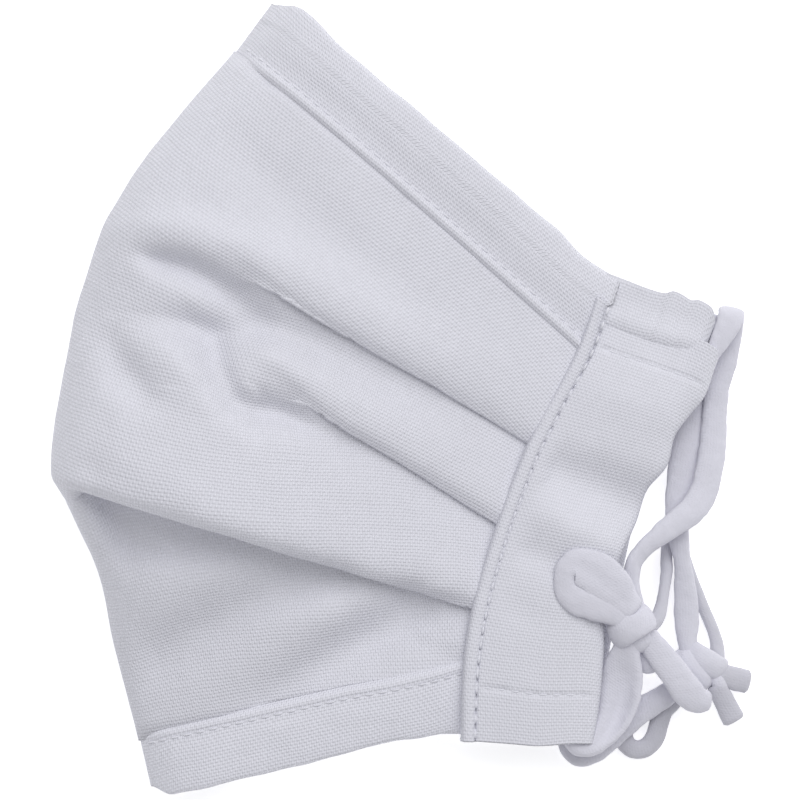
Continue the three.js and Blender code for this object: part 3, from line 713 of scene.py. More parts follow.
FRONT_BOW = [
    (22.1, -11.46, 11.8, 4.2, 2.4), (19.97, -10.64, 12, 5.4, 1.76, 0, 0.1),
    (17.15, -8.9, 12.6, 7, 1.6, 0, 0.3), (14.29, -7.6, 12.8, 7.8, 1.6, 0, 0.4),
    (11.71, -7, 12.8, 7.2, 1.6, 0, 0.4), (9.5, -7, 12.7, 5.4, 1.7, 0, 0.2),
    (8.5, -8.3, 12.5, 4.2, 1.8), (8.6, -10.1, 12.4, 4, 1.84), (9.5, -11.7, 12.4, 4.4, 1.76),
    (11.35, -12.6, 12.5, 5.2, 1.7), (13.75, -12.75, 12.5, 5.4, 1.7),
    (16.27, -12.7, 12.3, 5.2, 1.7), (18.94, -13.05, 11.9, 4.4, 1.76),
    (20.58, -13.59, 11.6, 3.8, 2.2),
]
FRONT_TAIL = [
    (24.03, -14.41, 9.1, 3.6, 2.4), (25.32, -15.28, 8.8, 4.2, 2.4),
    (27.32, -16.67, 8.4, 4.7, 2.3), (29.68, -18.31, 8.3, 5, 2.2), (32.25, -20.06, 8.4, 5.3, 2.2),
    (35, -22.2, 8.2, 5.5, 2.2), (37.4, -23.1, 7.4, 4.9, 2.3), (39.4, -22.6, 6.4, 3.4, 2.4),
]
BACK_BOW = [
    (38.92, -16.93, 3.4, 2.8, 2.2), (38.46, -14.52, 2.8, 2.7, 2.1), (37.5, -12.26, 2.2, 2.3, 2),
    (35.61, -9.73, 1.8, 2.1, 2), (33.26, -6.97, 1.6, 2.1, 2), (31.12, -4.32, 1.6, 2, 2),
    (28.94, -1.5, 1.6, 2, 2), (27.02, 1.04, 1.6, 2, 2), (25.43, 2.56, 1.6, 2, 2),
    (24.24, 2.19, 1.8, 2, 2), (24.49, -0.12, 2.4, 2.1, 2), (25.5, -3.46, 3.6, 2.1, 2.1),
    (25.98, -6.59, 5, 2, 2.1), (26.3, -9.4, 6.6, 2.2, 2.2), (26.2, -11.6, 7.8, 2.6, 2.2),
    (25.3, -13.2, 8.6, 3, 2.2), (23.8, -14.2, 9.2, 3, 2),
]
BACK_LOOP = [
    (34.43, -22.31, 2.8, 3.2, 2.2), (33.46, -24.45, 2.3, 3.5, 2.2),
    (32.46, -26.79, 1.9, 3.6, 2.2), (32.4, -29.2, 1.7, 3.5, 2.2), (32.47, -31.74, 1.7, 3.5, 2.2),
    (31.66, -33.83, 1.7, 3.4, 2.2), (29.99, -34.92, 1.7, 3.4, 2.2),
    (28.14, -34.59, 1.7, 3.4, 2.2), (26.89, -32.96, 1.7, 3.5, 2.2),
    (27.01, -30.72, 1.7, 3.5, 2.2), (28.26, -28.31, 1.8, 3.6, 2.2),
    (30.12, -26.06, 1.8, 3.6, 2.2),
]
RIGHT_TAIL = [
    (38.73, -17.54, 3.6, 3.6, 2.4), (40.65, -17.68, 3.2, 3.9, 2.3),
    (42.92, -17.74, 2.4, 4.1, 2.2), (45.3, -17.56, 1.8, 4.1, 2.2),
]
DOWN_TAIL = [
    (39.61, -19.67, 3.4, 3.4, 2.4), (41.23, -21.21, 2.8, 3.6, 2.3),
    (42.86, -22.85, 2.2, 3.9, 2.2), (45, -24.9, 1.8, 4, 2.2),
]


# A tube's section and rings: how full its flat sides are, where 1 is an ellipse, how its ends
# close, and the size of its lumps
TUBE_SIDES = 24
TUBE_RING = 0.4 * MM
FULLNESS = 0.85
END_LENGTH = 0.5 * MM
END_SHARE = 0.78
LUMP_SIZE = 0.0035
PILE_SIZE = 0.0013


def full(value):
    """The sine round a section, fuller than an ellipse's."""
    return math.copysign(abs(value) ** FULLNESS, value)


def soft_tube(node, given, dip_at=0.1, dip_half=0.22, material=elastic):
    """A cord along its rows, with its section carried along without twisting."""
    fine = 24
    route = Route([placed(*row[:3]) for row in given], fine)
    rings = max(12, round(route.length / TUBE_RING))
    places = [route.lengths[index * fine] / route.length for index in range(len(given))]
    whole = [(*row, 0, 0)[:7] for row in given]
    wide, thick, tilt, sag = (
        [(place, row[part]) for place, row in zip(places, whole)] for part in (3, 4, 5, 6)
    )
    rows = []
    centres = []
    level = None
    for ring in range(rings + 1):
        share = ring / rings
        centre = route.at(share)
        ahead = route.tangent(share)
        flat_side = UP.cross(ahead)
        if level is None:
            level = flat_side.normalized()
        level = (level - ahead * level.dot(ahead)).normalized()
        if flat_side.length > 0.3:
            flat_side = flat_side.normalized() * math.copysign(1, flat_side.dot(level))
            level = level.lerp(flat_side, 0.2).normalized()
        over = ahead.cross(level).normalized()
        if over.z < -0.3:
            over.negate()
        angle = math.radians(tabled(tilt, share))
        lumps = 1 + 0.05 * noise.noise(centre / LUMP_SIZE)
        near_end = min(1.0, min(share, 1 - share) * route.length / END_LENGTH)
        closing = END_SHARE + (1 - END_SHARE) * math.sqrt(max(0.0, 1 - (1 - near_end) ** 2))
        half_wide = tabled(wide, share) / 2 * MM * lumps * closing
        half_thick = tabled(thick, share) / 2 * MM * lumps * closing
        depth = tabled(sag, share)
        side = over.cross(ahead).normalized()
        out = side * math.cos(angle) + over * math.sin(angle)
        top = over * math.cos(angle) - side * math.sin(angle)
        row = []
        for c, s in around(TUBE_SIDES):
            dip = depth * bump(dip_at, dip_half, c) if s > 0 else 0.0
            offset = out * (half_wide * c) + top * (half_thick * (full(s) - dip))
            row.append(centre + offset * (1 + 0.06 * noise.noise((centre + offset) / PILE_SIZE)))
        rows.append(row + [row[0].copy()])
        centres.append(centre)
    return finished(f"{node}_knit", closed_tube(rows), material, node), centres


front_cord, front_centres = soft_tube("ear_cord_front", FRONT_CORD, dip_at=0.2, dip_half=0.5)
back_cord, back_centres = soft_tube("ear_cord_back", BACK_CORD, material=elastic_back_painted_shade)
bow_front, bow_front_centres = soft_tube("bow_front", FRONT_BOW)
tail_front, _ = soft_tube("tail_front", FRONT_TAIL)
# The back bow, the loop and the back tails use the elastics painted darker: painted shade.
bow_back, bow_back_centres = soft_tube("bow_back", BACK_BOW, material=elastic_painted_shade)
loop_back, _ = soft_tube("loop_back", BACK_LOOP, material=elastic_shaded)
tail_right, _ = soft_tube("tail_back_right", RIGHT_TAIL, material=elastic_painted_shade)
tail_down, _ = soft_tube("tail_back_down", DOWN_TAIL, material=elastic_painted_shade)

# Turns of the knots. at: middle of the turn from the knot's middle, heading: degrees of its way
# over the top, reach and height: half lengths of its way round, wide and thick: its section,
# all in millimetres. drift: how far it moves along its own axis.
TURN_PARTS = "at heading reach height wide thick drift"
FRONT_KNOT_TURNS = named(
    TURN_PARTS,
    ((0, 0, 0), 46, 3.2, 2.5, 5, 2.4, 0.6),
    ((-0.6, 0.9, -0.2), 136, 2.4, 1.5, 4.4, 2.6, 0.4),
    ((0.6, -0.9, -0.8), -34, 2.6, 1.1, 4.4, 2.6, 0),
    ((3.9, -3.4, -3), -58, 3.1, 0.6, 3.6, 2, 0),
)
BACK_KNOT_TURNS = named(
    TURN_PARTS,
    ((-1.1, -0.4, 0), -43, 3.2, 2.1, 4.8, 2.3, 0.4),
    ((0.7, 2, 0.1), -16, 3, 1.9, 4.2, 2.2, 0.4),
    ((3.7, -0.6, -0.8), -48, 1.8, 1.2, 2.6, 2.1, 0),
    ((0.8, 0.4, -1.2), 40, 2.6, 0.9, 5, 2.2, 0),
)


KNOT_RINGS = 44
KNOT_SIDES = 22
# Degrees at which a turn comes up out of the knot and goes down into it
KNOT_ARC = (-38, 218)


def knot(node, centre, turns):
    """A knot of soft cord: fat bands wound over each other, joined as one piece."""
    shape = bmesh.new()
    for turn in turns:
        middle = centre + Vector(turn["at"]) * MM
        heading = math.radians(turn["heading"])
        along = Vector((math.cos(heading), math.sin(heading), 0))
        axis = Vector((along.y, -along.x, 0))
        reach = turn["reach"]
        height = turn["height"]
        rows = []
        for ring in range(KNOT_RINGS + 1):
            share = ring / KNOT_RINGS
            angle = math.radians(mix(*KNOT_ARC, share))
            outward = along * (reach * math.cos(angle)) + UP * (height * math.sin(angle))
            ahead = along * (-reach * math.sin(angle)) + UP * (height * math.cos(angle))
            place = middle + outward * MM + axis * (turn["drift"] * (share - 0.5) * MM)
            over = axis.cross(ahead.normalized()).normalized()
            if over.dot(outward) < 0:
                over.negate()
            swell = 1 + 0.05 * noise.noise(place / 0.003)
            row = []
            for c, s in around(KNOT_SIDES):
                wide = turn["wide"] / 2 * MM * c
                thick = turn["thick"] / 2 * MM * full(s)
                row.append(place + axis * (wide * swell) + over * (thick * swell))
            rows.append(row + [row[0].copy()])
        add_part(shape, closed_tube(rows))
    return finished(f"{node}_knit", shape, elastic, node)


knot_front = knot("knot_front", ORIGIN + FRONT_KNOT, FRONT_KNOT_TURNS)
knot_back = knot("knot_back", ORIGIN + BACK_KNOT, BACK_KNOT_TURNS)


# Pleated cloth

centre_fold = Route([(-out * HALF_WIDTH, along * FOLD_HEIGHT, 0) for out, along in CENTRE_FOLD])


def ridge_x(y):
    return CASING_BOW * tabled(CASING_ROWS["ridge"], y / SIDE_HEIGHT)


# How far the panel's side edge lies under the casing's ridge, and the share of the way to the
# casing in which each half turns at the centre fold
TUCKED_UNDER_RIDGE = 0.0009
FRONT_TURN = 0.24
BACK_TURN = 0.14


def turned(s, width):
    """Turn of the cloth at the centre fold: 0 at the fold, 1 where the half lies at its height."""
    left = 1 - min(1.0, s / width)
    return math.sqrt(1 - left * left)


def relief(place, folds):
    """Rise of the cloth's soft folds at a place, in metres."""
    x = place.x / MM
    y = place.y / MM
    total = 0.0
    for rows in folds:
        best = None
        for (x0, y0, half0, rise0), (x1, y1, half1, rise1) in zip(rows, rows[1:]):
            dx = x1 - x0
            dy = y1 - y0
            share = min(1.0, max(0.0, ((x - x0) * dx + (y - y0) * dy) / (dx * dx + dy * dy)))
            away = math.hypot(x - x0 - share * dx, y - y0 - share * dy) / mix(half0, half1, share)
            if best is None or away < best[0]:
                best = (away, mix(rise0, rise1, share))
        total += best[1] * math.exp(-best[0] ** 2)
    return total * MM


def plan_at(line, s):
    """Place of a line seen from above, at a share s of its way from the fold to the casing."""
    start = centre_fold.at(line["fold"])
    end_y = line["side"] * SIDE_HEIGHT
    end_x = ridge_x(end_y) + TUCKED_UNDER_RIDGE
    swell = math.sin(math.pi * s ** 0.75) * line["bow"] * SIDE_HEIGHT
    return Vector((mix(start.x, end_x, s), mix(start.y, end_y, s) + swell, 0))


def height_at(line, s, front):
    """Height of a line: level at the centre fold, then up on the front or down on the back half."""
    middle = line["turn"] * CREST_HEIGHT
    if front:
        side = FRONT_LEVEL + line["layer"] * LAYER_PITCH
        top = mix(line["crest"] * CREST_HEIGHT, side, smooth(0.3, 1, s))
        return middle + (top - middle) * turned(s, FRONT_TURN)
    flat = WALL / 2 + CLEARANCE / 4 + (1 - line["layer"]) * LAYER_PITCH * smooth(0.1, 0.5, s)
    side = BACK_LEVEL - line["layer"] * LAYER_PITCH
    low = mix(flat, side, smooth(0.8, 1, s))
    return middle + (low - middle) * turned(s, BACK_TURN)


def point_on(line, s, front):
    place = plan_at(line, s)
    place.z = height_at(line, s, front)
    return place


def pleat_points(pleat, s, front):
    """The points of a pleat's Z fold, from above its nose to below its crease."""
    nose = LINES[pleat["nose"]]
    tip = point_on(nose, s, front)
    grown = smooth(pleat["starts"], pleat["grown"], s)
    closed = smooth(pleat["head"], 1, s)
    opening = 1 - smooth(0, pleat["head"] + 0.08, s)
    gape = pleat["open"] * PLEAT_DEPTH
    overlap = PLEAT_DEPTH * max(0.0, (s - pleat["head"]) / (1 - pleat["head"])) ** 0.8
    overlap += pleat["tuck"] * PLEAT_DEPTH * grown * (1 - s)
    at_fold = pleat["at_fold"] * CREST_HEIGHT
    beside = smooth(0.3, 1, s)
    if front:
        step = mix(at_fold, mix(pleat["step"] * CREST_HEIGHT, 2 * LAYER_PITCH, beside), grown)
    else:
        step = mix(at_fold, -mix(LAYER_PITCH, 2 * LAYER_PITCH, beside), smooth(0, 0.2, s))
    turn_by = step * mix(0.3, 0.5, closed)
    droop = pleat["round"] * MM * (smooth(0.02, 0.14, s) if front else 0)
    crease_line = {**nose, "fold": nose["fold"] + max(0.0001, gape / centre_fold.length)}
    crease = tip + (plan_at(crease_line, 0) - plan_at(nose, 0)) * opening
    crease.y += overlap
    crease.z = tip.z - step
    back = max(1.5 * WALL, 0.5 * overlap) * smooth(0, 0.1, s)
    gap_ahead = gape * opening + 0.8 * WALL * (1 - closed)
    down = centre_fold.tangent(nose["fold"]).lerp(Vector((0, -1, 0)), smooth(0, 0.35, s))

    def offset(start, ahead, rise):
        return start + down * ahead + Vector((0, 0, rise))

    return [
        offset(tip, -LAYER_PITCH - back * 0.3, 0),
        offset(tip, 0, -droop),
        offset(tip, 0, -max(turn_by, droop)),
        offset(crease, 0.2 * gap_ahead, turn_by),
        offset(crease, 0, 0),
        offset(crease, LAYER_PITCH + 0.4 * gap_ahead, 0),
    ]


# Where the corners of a pleat lie while it is still open, as shares of OPEN_REACH from its nose
OPEN_SPREAD = (-0.5, -0.3, -0.1, 0.1, 0.3, 0.5)
OPEN_REACH = 0.013


def opened(tight, above, nose, below, s, pleat):
    """The corners of a pleat spread along the cloth where it isn't folded yet."""
    folded = smooth(pleat["starts"], pleat["grown"], s)
    if pleat["at_fold"] or folded == 1:
        return tight
    corners = []
    for corner, share in zip(tight, OPEN_SPREAD):
        neighbour = above if share < 0 else below
        gap = max((neighbour - nose).length, 1e-6)
        flat = nose.lerp(neighbour, min(0.8, abs(share) * OPEN_REACH / gap))
        corners.append(flat.lerp(corner, folded))
    return corners


def seated(corner, line, s):
    """A section's corner moved along X so that the cloth ends square at the casing's ridge."""
    shift = ridge_x(corner.y) - ridge_x(line["side"] * SIDE_HEIGHT)
    corner.x += shift * smooth(0.6, 1, s)
    return corner


def section_corners(s, front):
    """The corners of the panel's section from nose edge to chin edge."""
    corners = [point_on(LINES[name], s, front) for name in ("seam_top", "upper_high", "upper_low")]
    for pleat in PLEATS:
        nose = LINES[pleat["nose"]]
        tight = [seated(corner, nose, s) for corner in pleat_points(pleat, s, front)]
        lower = point_on(LINES[pleat["lower"]], s, front)
        if front:
            tight = opened(tight, corners[-1], point_on(nose, s, front), lower, s, pleat)
        corners += tight + [lower]
    corners += [point_on(LINES[name], s, front) for name in ("lower_low", "seam_bottom")]
    return corners


def softened(corners, samples):
    """Quadratic spline that touches the middle of each side between two corners."""
    points = [corners[0].copy()]
    last = len(corners) - 2
    for index in range(1, len(corners) - 1):
        start = corners[0] if index == 1 else (corners[index - 1] + corners[index]) / 2
        end = corners[-1] if index == last else (corners[index] + corners[index + 1]) / 2
        for step in range(1, samples + 1):
            share = step / samples
            points.append(
                start * (1 - share) ** 2
                + corners[index] * (2 * share * (1 - share))
                + end * share ** 2
            )
    return points


# Rows of the panel's points in each half, how they crowd towards the centre fold, and points
# between two corners of a section
FRONT_STEPS = 112
BACK_STEPS = 60
FOLD_CROWDING = 1.35
PANEL_SAMPLES = 9


def stations():
    """Shares of the way from the front casing round the centre fold to the back casing."""
    front = [((FRONT_STEPS - step) / FRONT_STEPS) ** FOLD_CROWDING for step in range(FRONT_STEPS)]
    back = [(step / BACK_STEPS) ** FOLD_CROWDING for step in range(1, BACK_STEPS + 1)]
    return [(s, True) for s in front] + [(0.0, True)] + [(s, False) for s in back]


STATIONS = stations()


# Waves of the cloth: (height in millimetres, size, seed)
PANEL_WAVES = ((0.16, 0.011, 3), (0.07, 0.004, 11))
HEM_WAVES = ((0.12, 0.006, 5), (0.18, 0.016, 9))
CASING_WAVES = ((0.22, 0.014, 21), (0.08, 0.005, 23))


def ripple(place, waves):
    """Rise of the cloth's own unevenness at a place, in metres."""
    return sum(
        height * MM * noise.noise(place / size + Vector((seed, seed * 0.7, -seed)))
        for height, size, seed in waves
    )


def panel_rows():
    """Rows of the panel's points without and with its soft folds."""
    plain = []
    rows = []
    for s, front in STATIONS:
        row = softened(section_corners(s, front), PANEL_SAMPLES)
        plain.append([point + ORIGIN for point in row])
        share = smooth(0.0, 0.12, s) if front else 0
        rows.append([point + ORIGIN + UP * (relief(point, PANEL_FOLDS) * share) for point in row])
    return plain, rows


# Corners of the panel's section at each pleat's nose and deep in it
PLEAT_CORNERS = ((4, 7), (11, 14), (18, 21))
# The part of the panel's map, along and across, on which its weave is turned and sized
NOSE_PATCH = (0.08, 0.03)


def lay_flat(piece, patch):
    """Sets the UV map from the cloth laid out flat without stretch, turned and sized to agree
    with the measured map on a patch of it."""
    layer = piece.data.uv_layers["cloth"]
    measured = [complex(*corner.uv) for corner in layer.data]
    bpy.context.view_layer.objects.active = piece
    piece.select_set(True)
    bpy.ops.object.mode_set(mode="EDIT")
    bpy.ops.mesh.select_all(action="SELECT")
    bpy.ops.uv.unwrap(method="MINIMUM_STRETCH", margin=0, iterations=8)
    bpy.ops.object.mode_set(mode="OBJECT")
    piece.select_set(False)
    layer = piece.data.uv_layers["cloth"]
    flat = [complex(*corner.uv) for corner in layer.data]
    along, across = patch
    chosen = [
        index for index, place in enumerate(measured) if place.real < along and place.imag < across
    ]
    middle = sum(measured[index] for index in chosen) / len(chosen)
    centre = sum(flat[index] for index in chosen) / len(chosen)
    kept = sum((measured[index] - middle) * (flat[index] - centre).conjugate() for index in chosen)
    flipped = sum((measured[index] - middle) * (flat[index] - centre) for index in chosen)
    mirrored = abs(flipped) > abs(kept)
    spread = sum(abs(flat[index] - centre) ** 2 for index in chosen)
    factor = (flipped if mirrored else kept) / spread
    for corner, place in zip(layer.data, flat):
        away = place - centre
        value = middle + factor * (away.conjugate() if mirrored else away)
        corner.uv = (value.real, value.imag)


def make_panel():
    pleats = [[(corner - 1) * PANEL_SAMPLES for corner in pair] for pair in PLEAT_CORNERS]
    plain, rows = panel_rows()
    shape = laid_grid(rows, pleats, plain=plain)
    bmesh.ops.recalc_face_normals(shape, faces=shape.faces)
    inner = [vert for vert in shape.verts if not vert.is_boundary]
    for _ in range(2):
        bmesh.ops.smooth_vert(
            shape, verts=inner, factor=0.5, use_axis_x=True, use_axis_y=True, use_axis_z=True
        )
    shape.normal_update()
    moves = [vert.normal * ripple(vert.co, PANEL_WAVES) for vert in inner]
    for vert, move in zip(inner, moves):
        vert.co += move
    piece = finished("pleated_cloth", shape, cotton, "pleated_panel")
    lay_flat(piece, NOSE_PATCH)
    wall(piece, 0)
    return piece


panel = make_panel()

# The two hems. outward: the way along Y from the seam to the free edge, first and sewn: shares of
# the width at which the section starts and the stitches run.
HEMS = {row["edge"]: row for row in named(
    "edge seam width outward first sewn",
    ("nose", LINES["seam_top"], TOP_HEM_WIDTH, 1, -0.07, 0.108),
    ("chin", LINES["seam_bottom"], BOTTOM_HEM_WIDTH, -1, -0.15, 0.065),
)}

# Hem section, from the seam outwards: (share of the hem's width, millimetres). nose and chin:
# height of each hem's face above the strip's middle, under: depth of its other face below it.
HEM_SECTION = {
    "nose": [
        (-0.07, -0.1), (-0.058, 0.3), (-0.03, 0.72), (0, 1), (0.03, 1.1), (0.06, 0.98),
        (0.082, 0.7), (0.1, 0.42), (0.13, 0.38), (0.25, 0.6), (0.45, 1.1), (0.6, 1.2),
        (0.8, 1.05), (0.93, 0.8), (0.985, 0.42), (1, 0),
    ],
    "chin": [
        (-0.15, -0.1), (-0.13, 0.2), (-0.095, 0.68), (-0.07, 0.92), (-0.03, 1.08), (0, 1.06),
        (0.03, 0.94), (0.06, 0.86), (0.082, 0.9), (0.1, 0.93), (0.25, 0.98), (0.45, 0.95),
        (0.6, 0.85), (0.8, 0.72), (0.93, 0.5), (0.985, 0.3), (1, 0),
    ],
    "under": [
        (-0.15, 0.1), (-0.07, 0.1), (-0.03, 0.3), (0, 0.45), (0.03, 0.5), (0.082, 0.5),
        (0.1, 0.5), (0.13, 0.5), (0.25, 0.55), (0.45, 0.6), (0.6, 0.6), (0.8, 0.6), (0.93, 0.5),
        (0.985, 0.3), (1, 0),
    ],
}


def hem_frame(hem, s, front):
    """Start on the seam and the direction outwards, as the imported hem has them."""
    seam = hem["seam"]
    inner = point_on(seam, s, front)
    ahead = point_on(seam, min(1.0, s + 0.02), front)
    behind = point_on(seam, max(0.0, s - 0.02), front)
    run = ahead - behind
    run.z = 0
    run.normalize()
    upright = Vector((-run.y, run.x, 0)) * hem["outward"]
    level = Vector((0, hem["outward"] / run.x, 0))
    return inner, upright.lerp(level, smooth(0.6, 1, s))


# How far each hem's free edge lies inside its full width: (share of the way from the centre
# fold to the casing, millimetres)
HEM_TRIM = {
    "nose": [
        (0, 0), (0.08, 0), (0.16, 0.95), (0.25, 1.2), (0.45, 1.05), (0.6, 0.8), (0.74, 0.45),
        (0.84, 0.7), (0.93, 0.85), (1, 0.8),
    ],
    "chin": [
        (0, -0.2), (0.08, 0), (0.45, 0.1), (0.6, 0.5), (0.74, 1.1), (0.84, 1.6), (0.93, 1.4),
        (1, 0.6),
    ],
}
# How far the nose hem goes over the front casing and where along Y it starts to, how much its
# corner at the centre fold is rounded off, and how uneven its free edge is
HEM_PAST_CASING = 0.0024
HEM_PAST_FROM = (0.0372, 0.039)
HEM_CORNER = 0.0024
HEM_UNEVEN = 0.45 * MM
HEM_SAMPLES = 44
HEM_CROWDING = 1.25
LOWEST_CLOTH = 0.1 * MM


def hem_point(hem, s, front, share, rise):
    """A point of a hem at a share of its width, raised above the middle of its strip."""
    inner, out = hem_frame(hem, s, front)
    side = 1 if front else -1
    point = seated(inner + out * (hem["width"] * share), hem["seam"], s)
    if front and hem["edge"] == "nose":
        point.x += HEM_PAST_CASING * smooth(*HEM_PAST_FROM, point.y) * smooth(0.9, 1, s)
    drop = HEM_THICKNESS * 0.5 * smooth(0.05, 0.3, s) * side
    point.z += side * rise * mix(0.35, 1, smooth(0, 0.1, s)) - drop * share
    free = smooth(0.3, 1, share)
    corner = HEM_CORNER * smooth(0.35, 1, share) * (1 - smooth(0, 0.075, s)) ** 1.6
    uneven = HEM_UNEVEN * noise.noise(Vector((s * 9, hem["outward"] * 7.0, side * 3.0))) * free
    trim = tabled(HEM_TRIM[hem["edge"]], s) * MM * free
    point -= out * (corner + uneven + trim)
    return point + ORIGIN


def make_hem(name, hem, material, node):
    """A turned strip with its raised fold, from the front casing round to the back casing."""
    shares = [(step / HEM_SAMPLES) ** HEM_CROWDING for step in range(HEM_SAMPLES + 1)]
    outs = [mix(hem["first"], 1, share) for share in shares]
    section = [(out, tabled(HEM_SECTION[hem["edge"]], out)) for out in outs]
    section += [(out, -tabled(HEM_SECTION["under"], out)) for out in reversed(outs[:-1])]
    rows = []
    for s, front in STATIONS:
        row = []
        for out, rise in section:
            point = hem_point(hem, s, front, out, rise * MM)
            point.z += ripple(point, HEM_WAVES) * smooth(0.15, 0.3, abs(out)) * (1 if front else -1)
            point.z = max(point.z, LOWEST_CLOTH)
            row.append(point)
        row[-1] = row[0].copy()
        rows.append(row)
    return finished(name, closed_tube(rows), material, node)


hem_top = make_hem("hem_top_cloth", HEMS["nose"], cotton, "top_hem")
# The chin hem gets the cotton painted lighter: painted light.
hem_bottom = make_hem("hem_bottom_cloth", HEMS["chin"], cotton_chin_painted_light, "bottom_hem")

# Casing section: (share of its width, millimetres above or below its middle)
CASING_SECTION = {
    "top": [
        (0, 0.9), (0.008, 1.75), (0.025, 2.3), (0.055, 2.5), (0.085, 2.4), (0.101, 2.1),
        (0.111, 1.85), (0.121, 2), (0.14, 2.15), (0.25, 2.4), (0.5, 2.75), (0.75, 2.5),
        (0.9, 1.8), (0.98, 0.9), (1, 0),
    ],
    "under": [
        (0, 1.2), (0.008, 1.8), (0.025, 2), (0.055, 2.05), (0.085, 2), (0.101, 1.8),
        (0.111, 1.4), (0.121, 1.7), (0.14, 1.8), (0.25, 2), (0.5, 2.5), (0.75, 2.3), (0.9, 1.7),
        (0.98, 0.9), (1, 0),
    ],
}


def casing_place(edge, level, across, share, rise):
    """A place on a plain casing. edge: front or back, share: from its chin to its nose end."""
    chin = tabled(CASING_ENDS["chin"], across)
    end = tabled(CASING_ENDS[edge], across)
    y = mix(chin, end, share) * SIDE_HEIGHT
    left = ridge_x(y)
    right = tabled(CASING_ROWS[edge], y / SIDE_HEIGHT) * CASING_WIDTH
    return ORIGIN + Vector((mix(left, right, across), y, level + rise))


# Back casing's nose end: how far it lifts off the surface and draws in, how thick it stays, and
# where along Y each of these begins and is whole
END_LIFT = 0.0062
END_LIFTS = (0.027, 0.037)
END_DRAWN = 1.6 * MM
END_DRAWS = (0.0345, 0.037)
END_THICK = 0.9 * MM
END_THINS = (0.033, 0.0405)
# How far the front casing's nose end is pressed down onto it
END_PRESSED = 0.0009
# Stitches beside the front casing's ridge: their share of its width, their pitch, and the depth
# and half breadth of the holes that they pull in
CASING_LENGTH = 0.0795
CASING_STITCH_ACROSS = 0.111
CASING_STITCH_PITCH = 0.00265
CASING_STITCHES = round(CASING_LENGTH / CASING_STITCH_PITCH)
HOLE_DEPTH = 0.00075
HOLE_HALF = 0.0058
# Seams across the front casing: their shares of its length, their grooves' depth and half
# breadth and the size of the rucks in them
CHIN_SEAM = 0.115
NOSE_SEAM = 0.905
SEAM_DEPTH = 0.00045
SEAM_HALF = 0.006
RUCK_SIZE = 0.0016
LOWEST_CASING = 0.05 * MM


def casing_surface(edge, level, across, share, rise):
    """A point of a casing with its soft folds, pressed ends and stitched grooves."""
    upper = rise >= 0
    if edge == "back":
        flat = smooth(*END_THINS, casing_place(edge, level, across, share, 0).y - ORIGIN.y)
        rise = mix(rise, math.copysign(min(abs(rise), END_THICK), 1 if upper else -1), flat)
    point = casing_place(edge, level, across, share, rise)
    place = point - ORIGIN
    soft = smooth(0.12, 0.3, across) * (1 if upper else -0.6)
    wave = ripple(point, CASING_WAVES)
    if edge == "back":
        point.z += END_LIFT * smooth(*END_LIFTS, place.y) + wave * soft
        point.x -= END_DRAWN * smooth(*END_DRAWS, place.y) * (1 - smooth(0, 0.25, across))
    else:
        folds = relief(place, CASING_FOLDS)
        if upper:
            point.z += (folds + wave) * soft
        else:
            point.z += wave * soft + folds * smooth(0.65, 0.95, across)
        pressed = smooth(0.8, 1, share) * (1 - smooth(0.75, 0.95, across))
        pressed *= smooth(0.0, 0.15, across)
        point.z -= (END_PRESSED + 0.45 * max(0.0, rise)) * pressed
        if upper:
            pull = smooth(0.3, 0.75, 0.5 + 0.5 * math.cos(2 * math.pi * share * CASING_STITCHES))
            point.z -= HOLE_DEPTH * bump(CASING_STITCH_ACROSS, HOLE_HALF, across) * pull
            sewn = smooth(0.12, 0.2, across) * (1 - smooth(0.9, 0.97, across))
            for seam in (CHIN_SEAM, NOSE_SEAM):
                ruck = 0.7 + 0.5 * noise.noise(point / RUCK_SIZE)
                point.z -= SEAM_DEPTH * bump(seam, SEAM_HALF, share) * sewn * ruck
    point.z = max(LOWEST_CASING, point.z)
    return point


# Share of the width beside a casing's ridge that has its own closer rows of points
RIDGE_PART = 0.15


def make_casing(name, edge, level, node, samples, rings):
    """A casing of doubled cloth round its cord, open at both ends."""
    close = samples * 2 // 7
    steps = [RIDGE_PART * step / close for step in range(close)]
    steps += [mix(RIDGE_PART, 1, step / (samples - close)) for step in range(samples - close + 1)]
    top = CASING_SECTION["top"]
    under = CASING_SECTION["under"]
    loop = [(across, tabled(top, across) * MM) for across in steps]
    loop += [(across, -tabled(under, across) * MM) for across in reversed(steps[:-1])]
    rows = []
    plain = []
    for ring in range(rings + 1):
        share = ring / rings
        plain.append([casing_place(edge, level, across, share, rise) for across, rise in loop])
        points = [casing_surface(edge, level, across, share, rise) for across, rise in loop]
        points[-1] = points[0].copy()
        rows.append(points)
    shape = closed_tube(rows, capped=False, level_rings=True, plain=plain)
    piece = finished(name, shape, cotton_casing_painted_shade, node)
    wall(piece, -1)
    return piece


casing_front = make_casing(
    "casing_front_cloth", "front", FRONT_LEVEL, "casing_front", samples=84, rings=240
)
casing_back = make_casing(
    "casing_back_cloth", "back", BACK_LEVEL, "casing_back", samples=70, rings=130
)


# Stitches: short arched lengths of thread, each line joined as one piece

STITCH_SIDES = 6
STITCH_RINGS = 5
# Steps along the lines that the stitches follow: a hem's, a casing's and one across it
HEM_LINE_STEPS = 60
CASING_LINE_STEPS = 40
CROSS_LINE_STEPS = 32


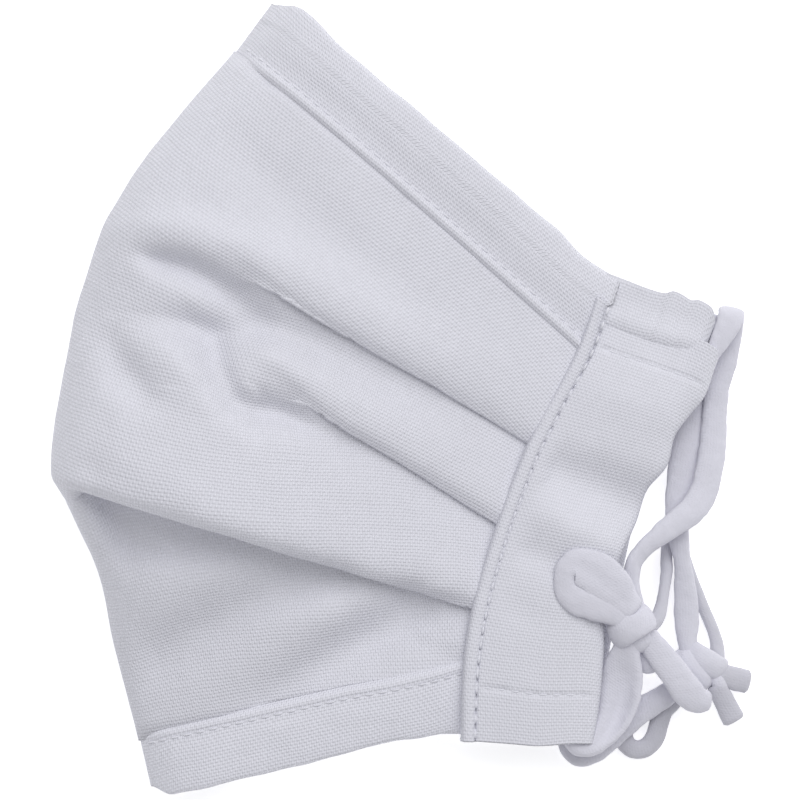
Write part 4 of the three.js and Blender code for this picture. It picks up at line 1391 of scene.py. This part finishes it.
def stitch_line(name, lines, pitch=STITCH_PITCH, share_sewn=0.7, thick=STITCH_THREAD, sunk=0.1):
    """Stitches along one or more lines of places that lie on the cloth. share_sewn: share of the
    pitch that a stitch takes, sunk: share of the thread that it sinks in."""
    shape = bmesh.new()
    for points in lines:
        route = Route(points, fine=6)
        count = max(2, round(route.length / pitch))
        for index in range(count):
            start = (index + (1 - share_sewn) / 2) / count
            end = start + share_sewn / count
            rows = []
            for ring in range(STITCH_RINGS + 1):
                share = mix(start, end, ring / STITCH_RINGS)
                ahead = route.tangent(share)
                level = UP.cross(ahead).normalized()
                over = ahead.cross(level)
                arch = math.sin(math.pi * (ring / STITCH_RINGS))
                centre = route.at(share) + over * (thick * (0.5 * arch - sunk))
                half = thick / 2 * (0.45 + 0.55 * arch ** 0.5)
                row = [
                    centre + level * (half * 1.15 * c) + over * (half * s)
                    for c, s in around(STITCH_SIDES)
                ]
                rows.append(row + [row[0].copy()])
            add_part(shape, closed_tube(rows))
    return finished(name, shape, thread)


def hem_stitches(hem):
    """The line of stitches beside a hem's seam, on the front half."""
    rise = tabled(HEM_SECTION[hem["edge"]], hem["sewn"]) * MM
    shares = [step / HEM_LINE_STEPS for step in range(1, HEM_LINE_STEPS + 1)]
    return [hem_point(hem, s, True, hem["sewn"], rise) for s in shares]


def casing_stitches(across):
    """The line of stitches beside the front casing's ridge."""
    rise = tabled(CASING_SECTION["top"], across) * MM
    shares = [step / CASING_LINE_STEPS for step in range(CASING_LINE_STEPS + 1)]
    return [casing_place("front", FRONT_LEVEL, across, share, rise) for share in shares]


def cross_stitches(share, start, end):
    """A line of stitches across the front casing, at a share of its length."""
    points = []
    for step in range(CROSS_LINE_STEPS + 1):
        across = mix(start, end, step / CROSS_LINE_STEPS)
        rise = tabled(CASING_SECTION["top"], across) * MM
        points.append(casing_surface("front", FRONT_LEVEL, across, share, rise))
    return points


stitch_line("stitches_top_hem", [hem_stitches(HEMS["nose"])])
stitch_line("stitches_bottom_hem", [hem_stitches(HEMS["chin"])])
stitch_line(
    "stitches_casing_front", [casing_stitches(CASING_STITCH_ACROSS)], CASING_STITCH_PITCH,
    share_sewn=0.56, thick=0.0004, sunk=0.35,
)
stitch_line(
    "stitches_casing_ends",
    [cross_stitches(NOSE_SEAM, 0.2, 0.9), cross_stitches(CHIN_SEAM, 0.14, 0.93)],
    pitch=0.0024, share_sewn=0.7, thick=0.00028, sunk=0.3,
)
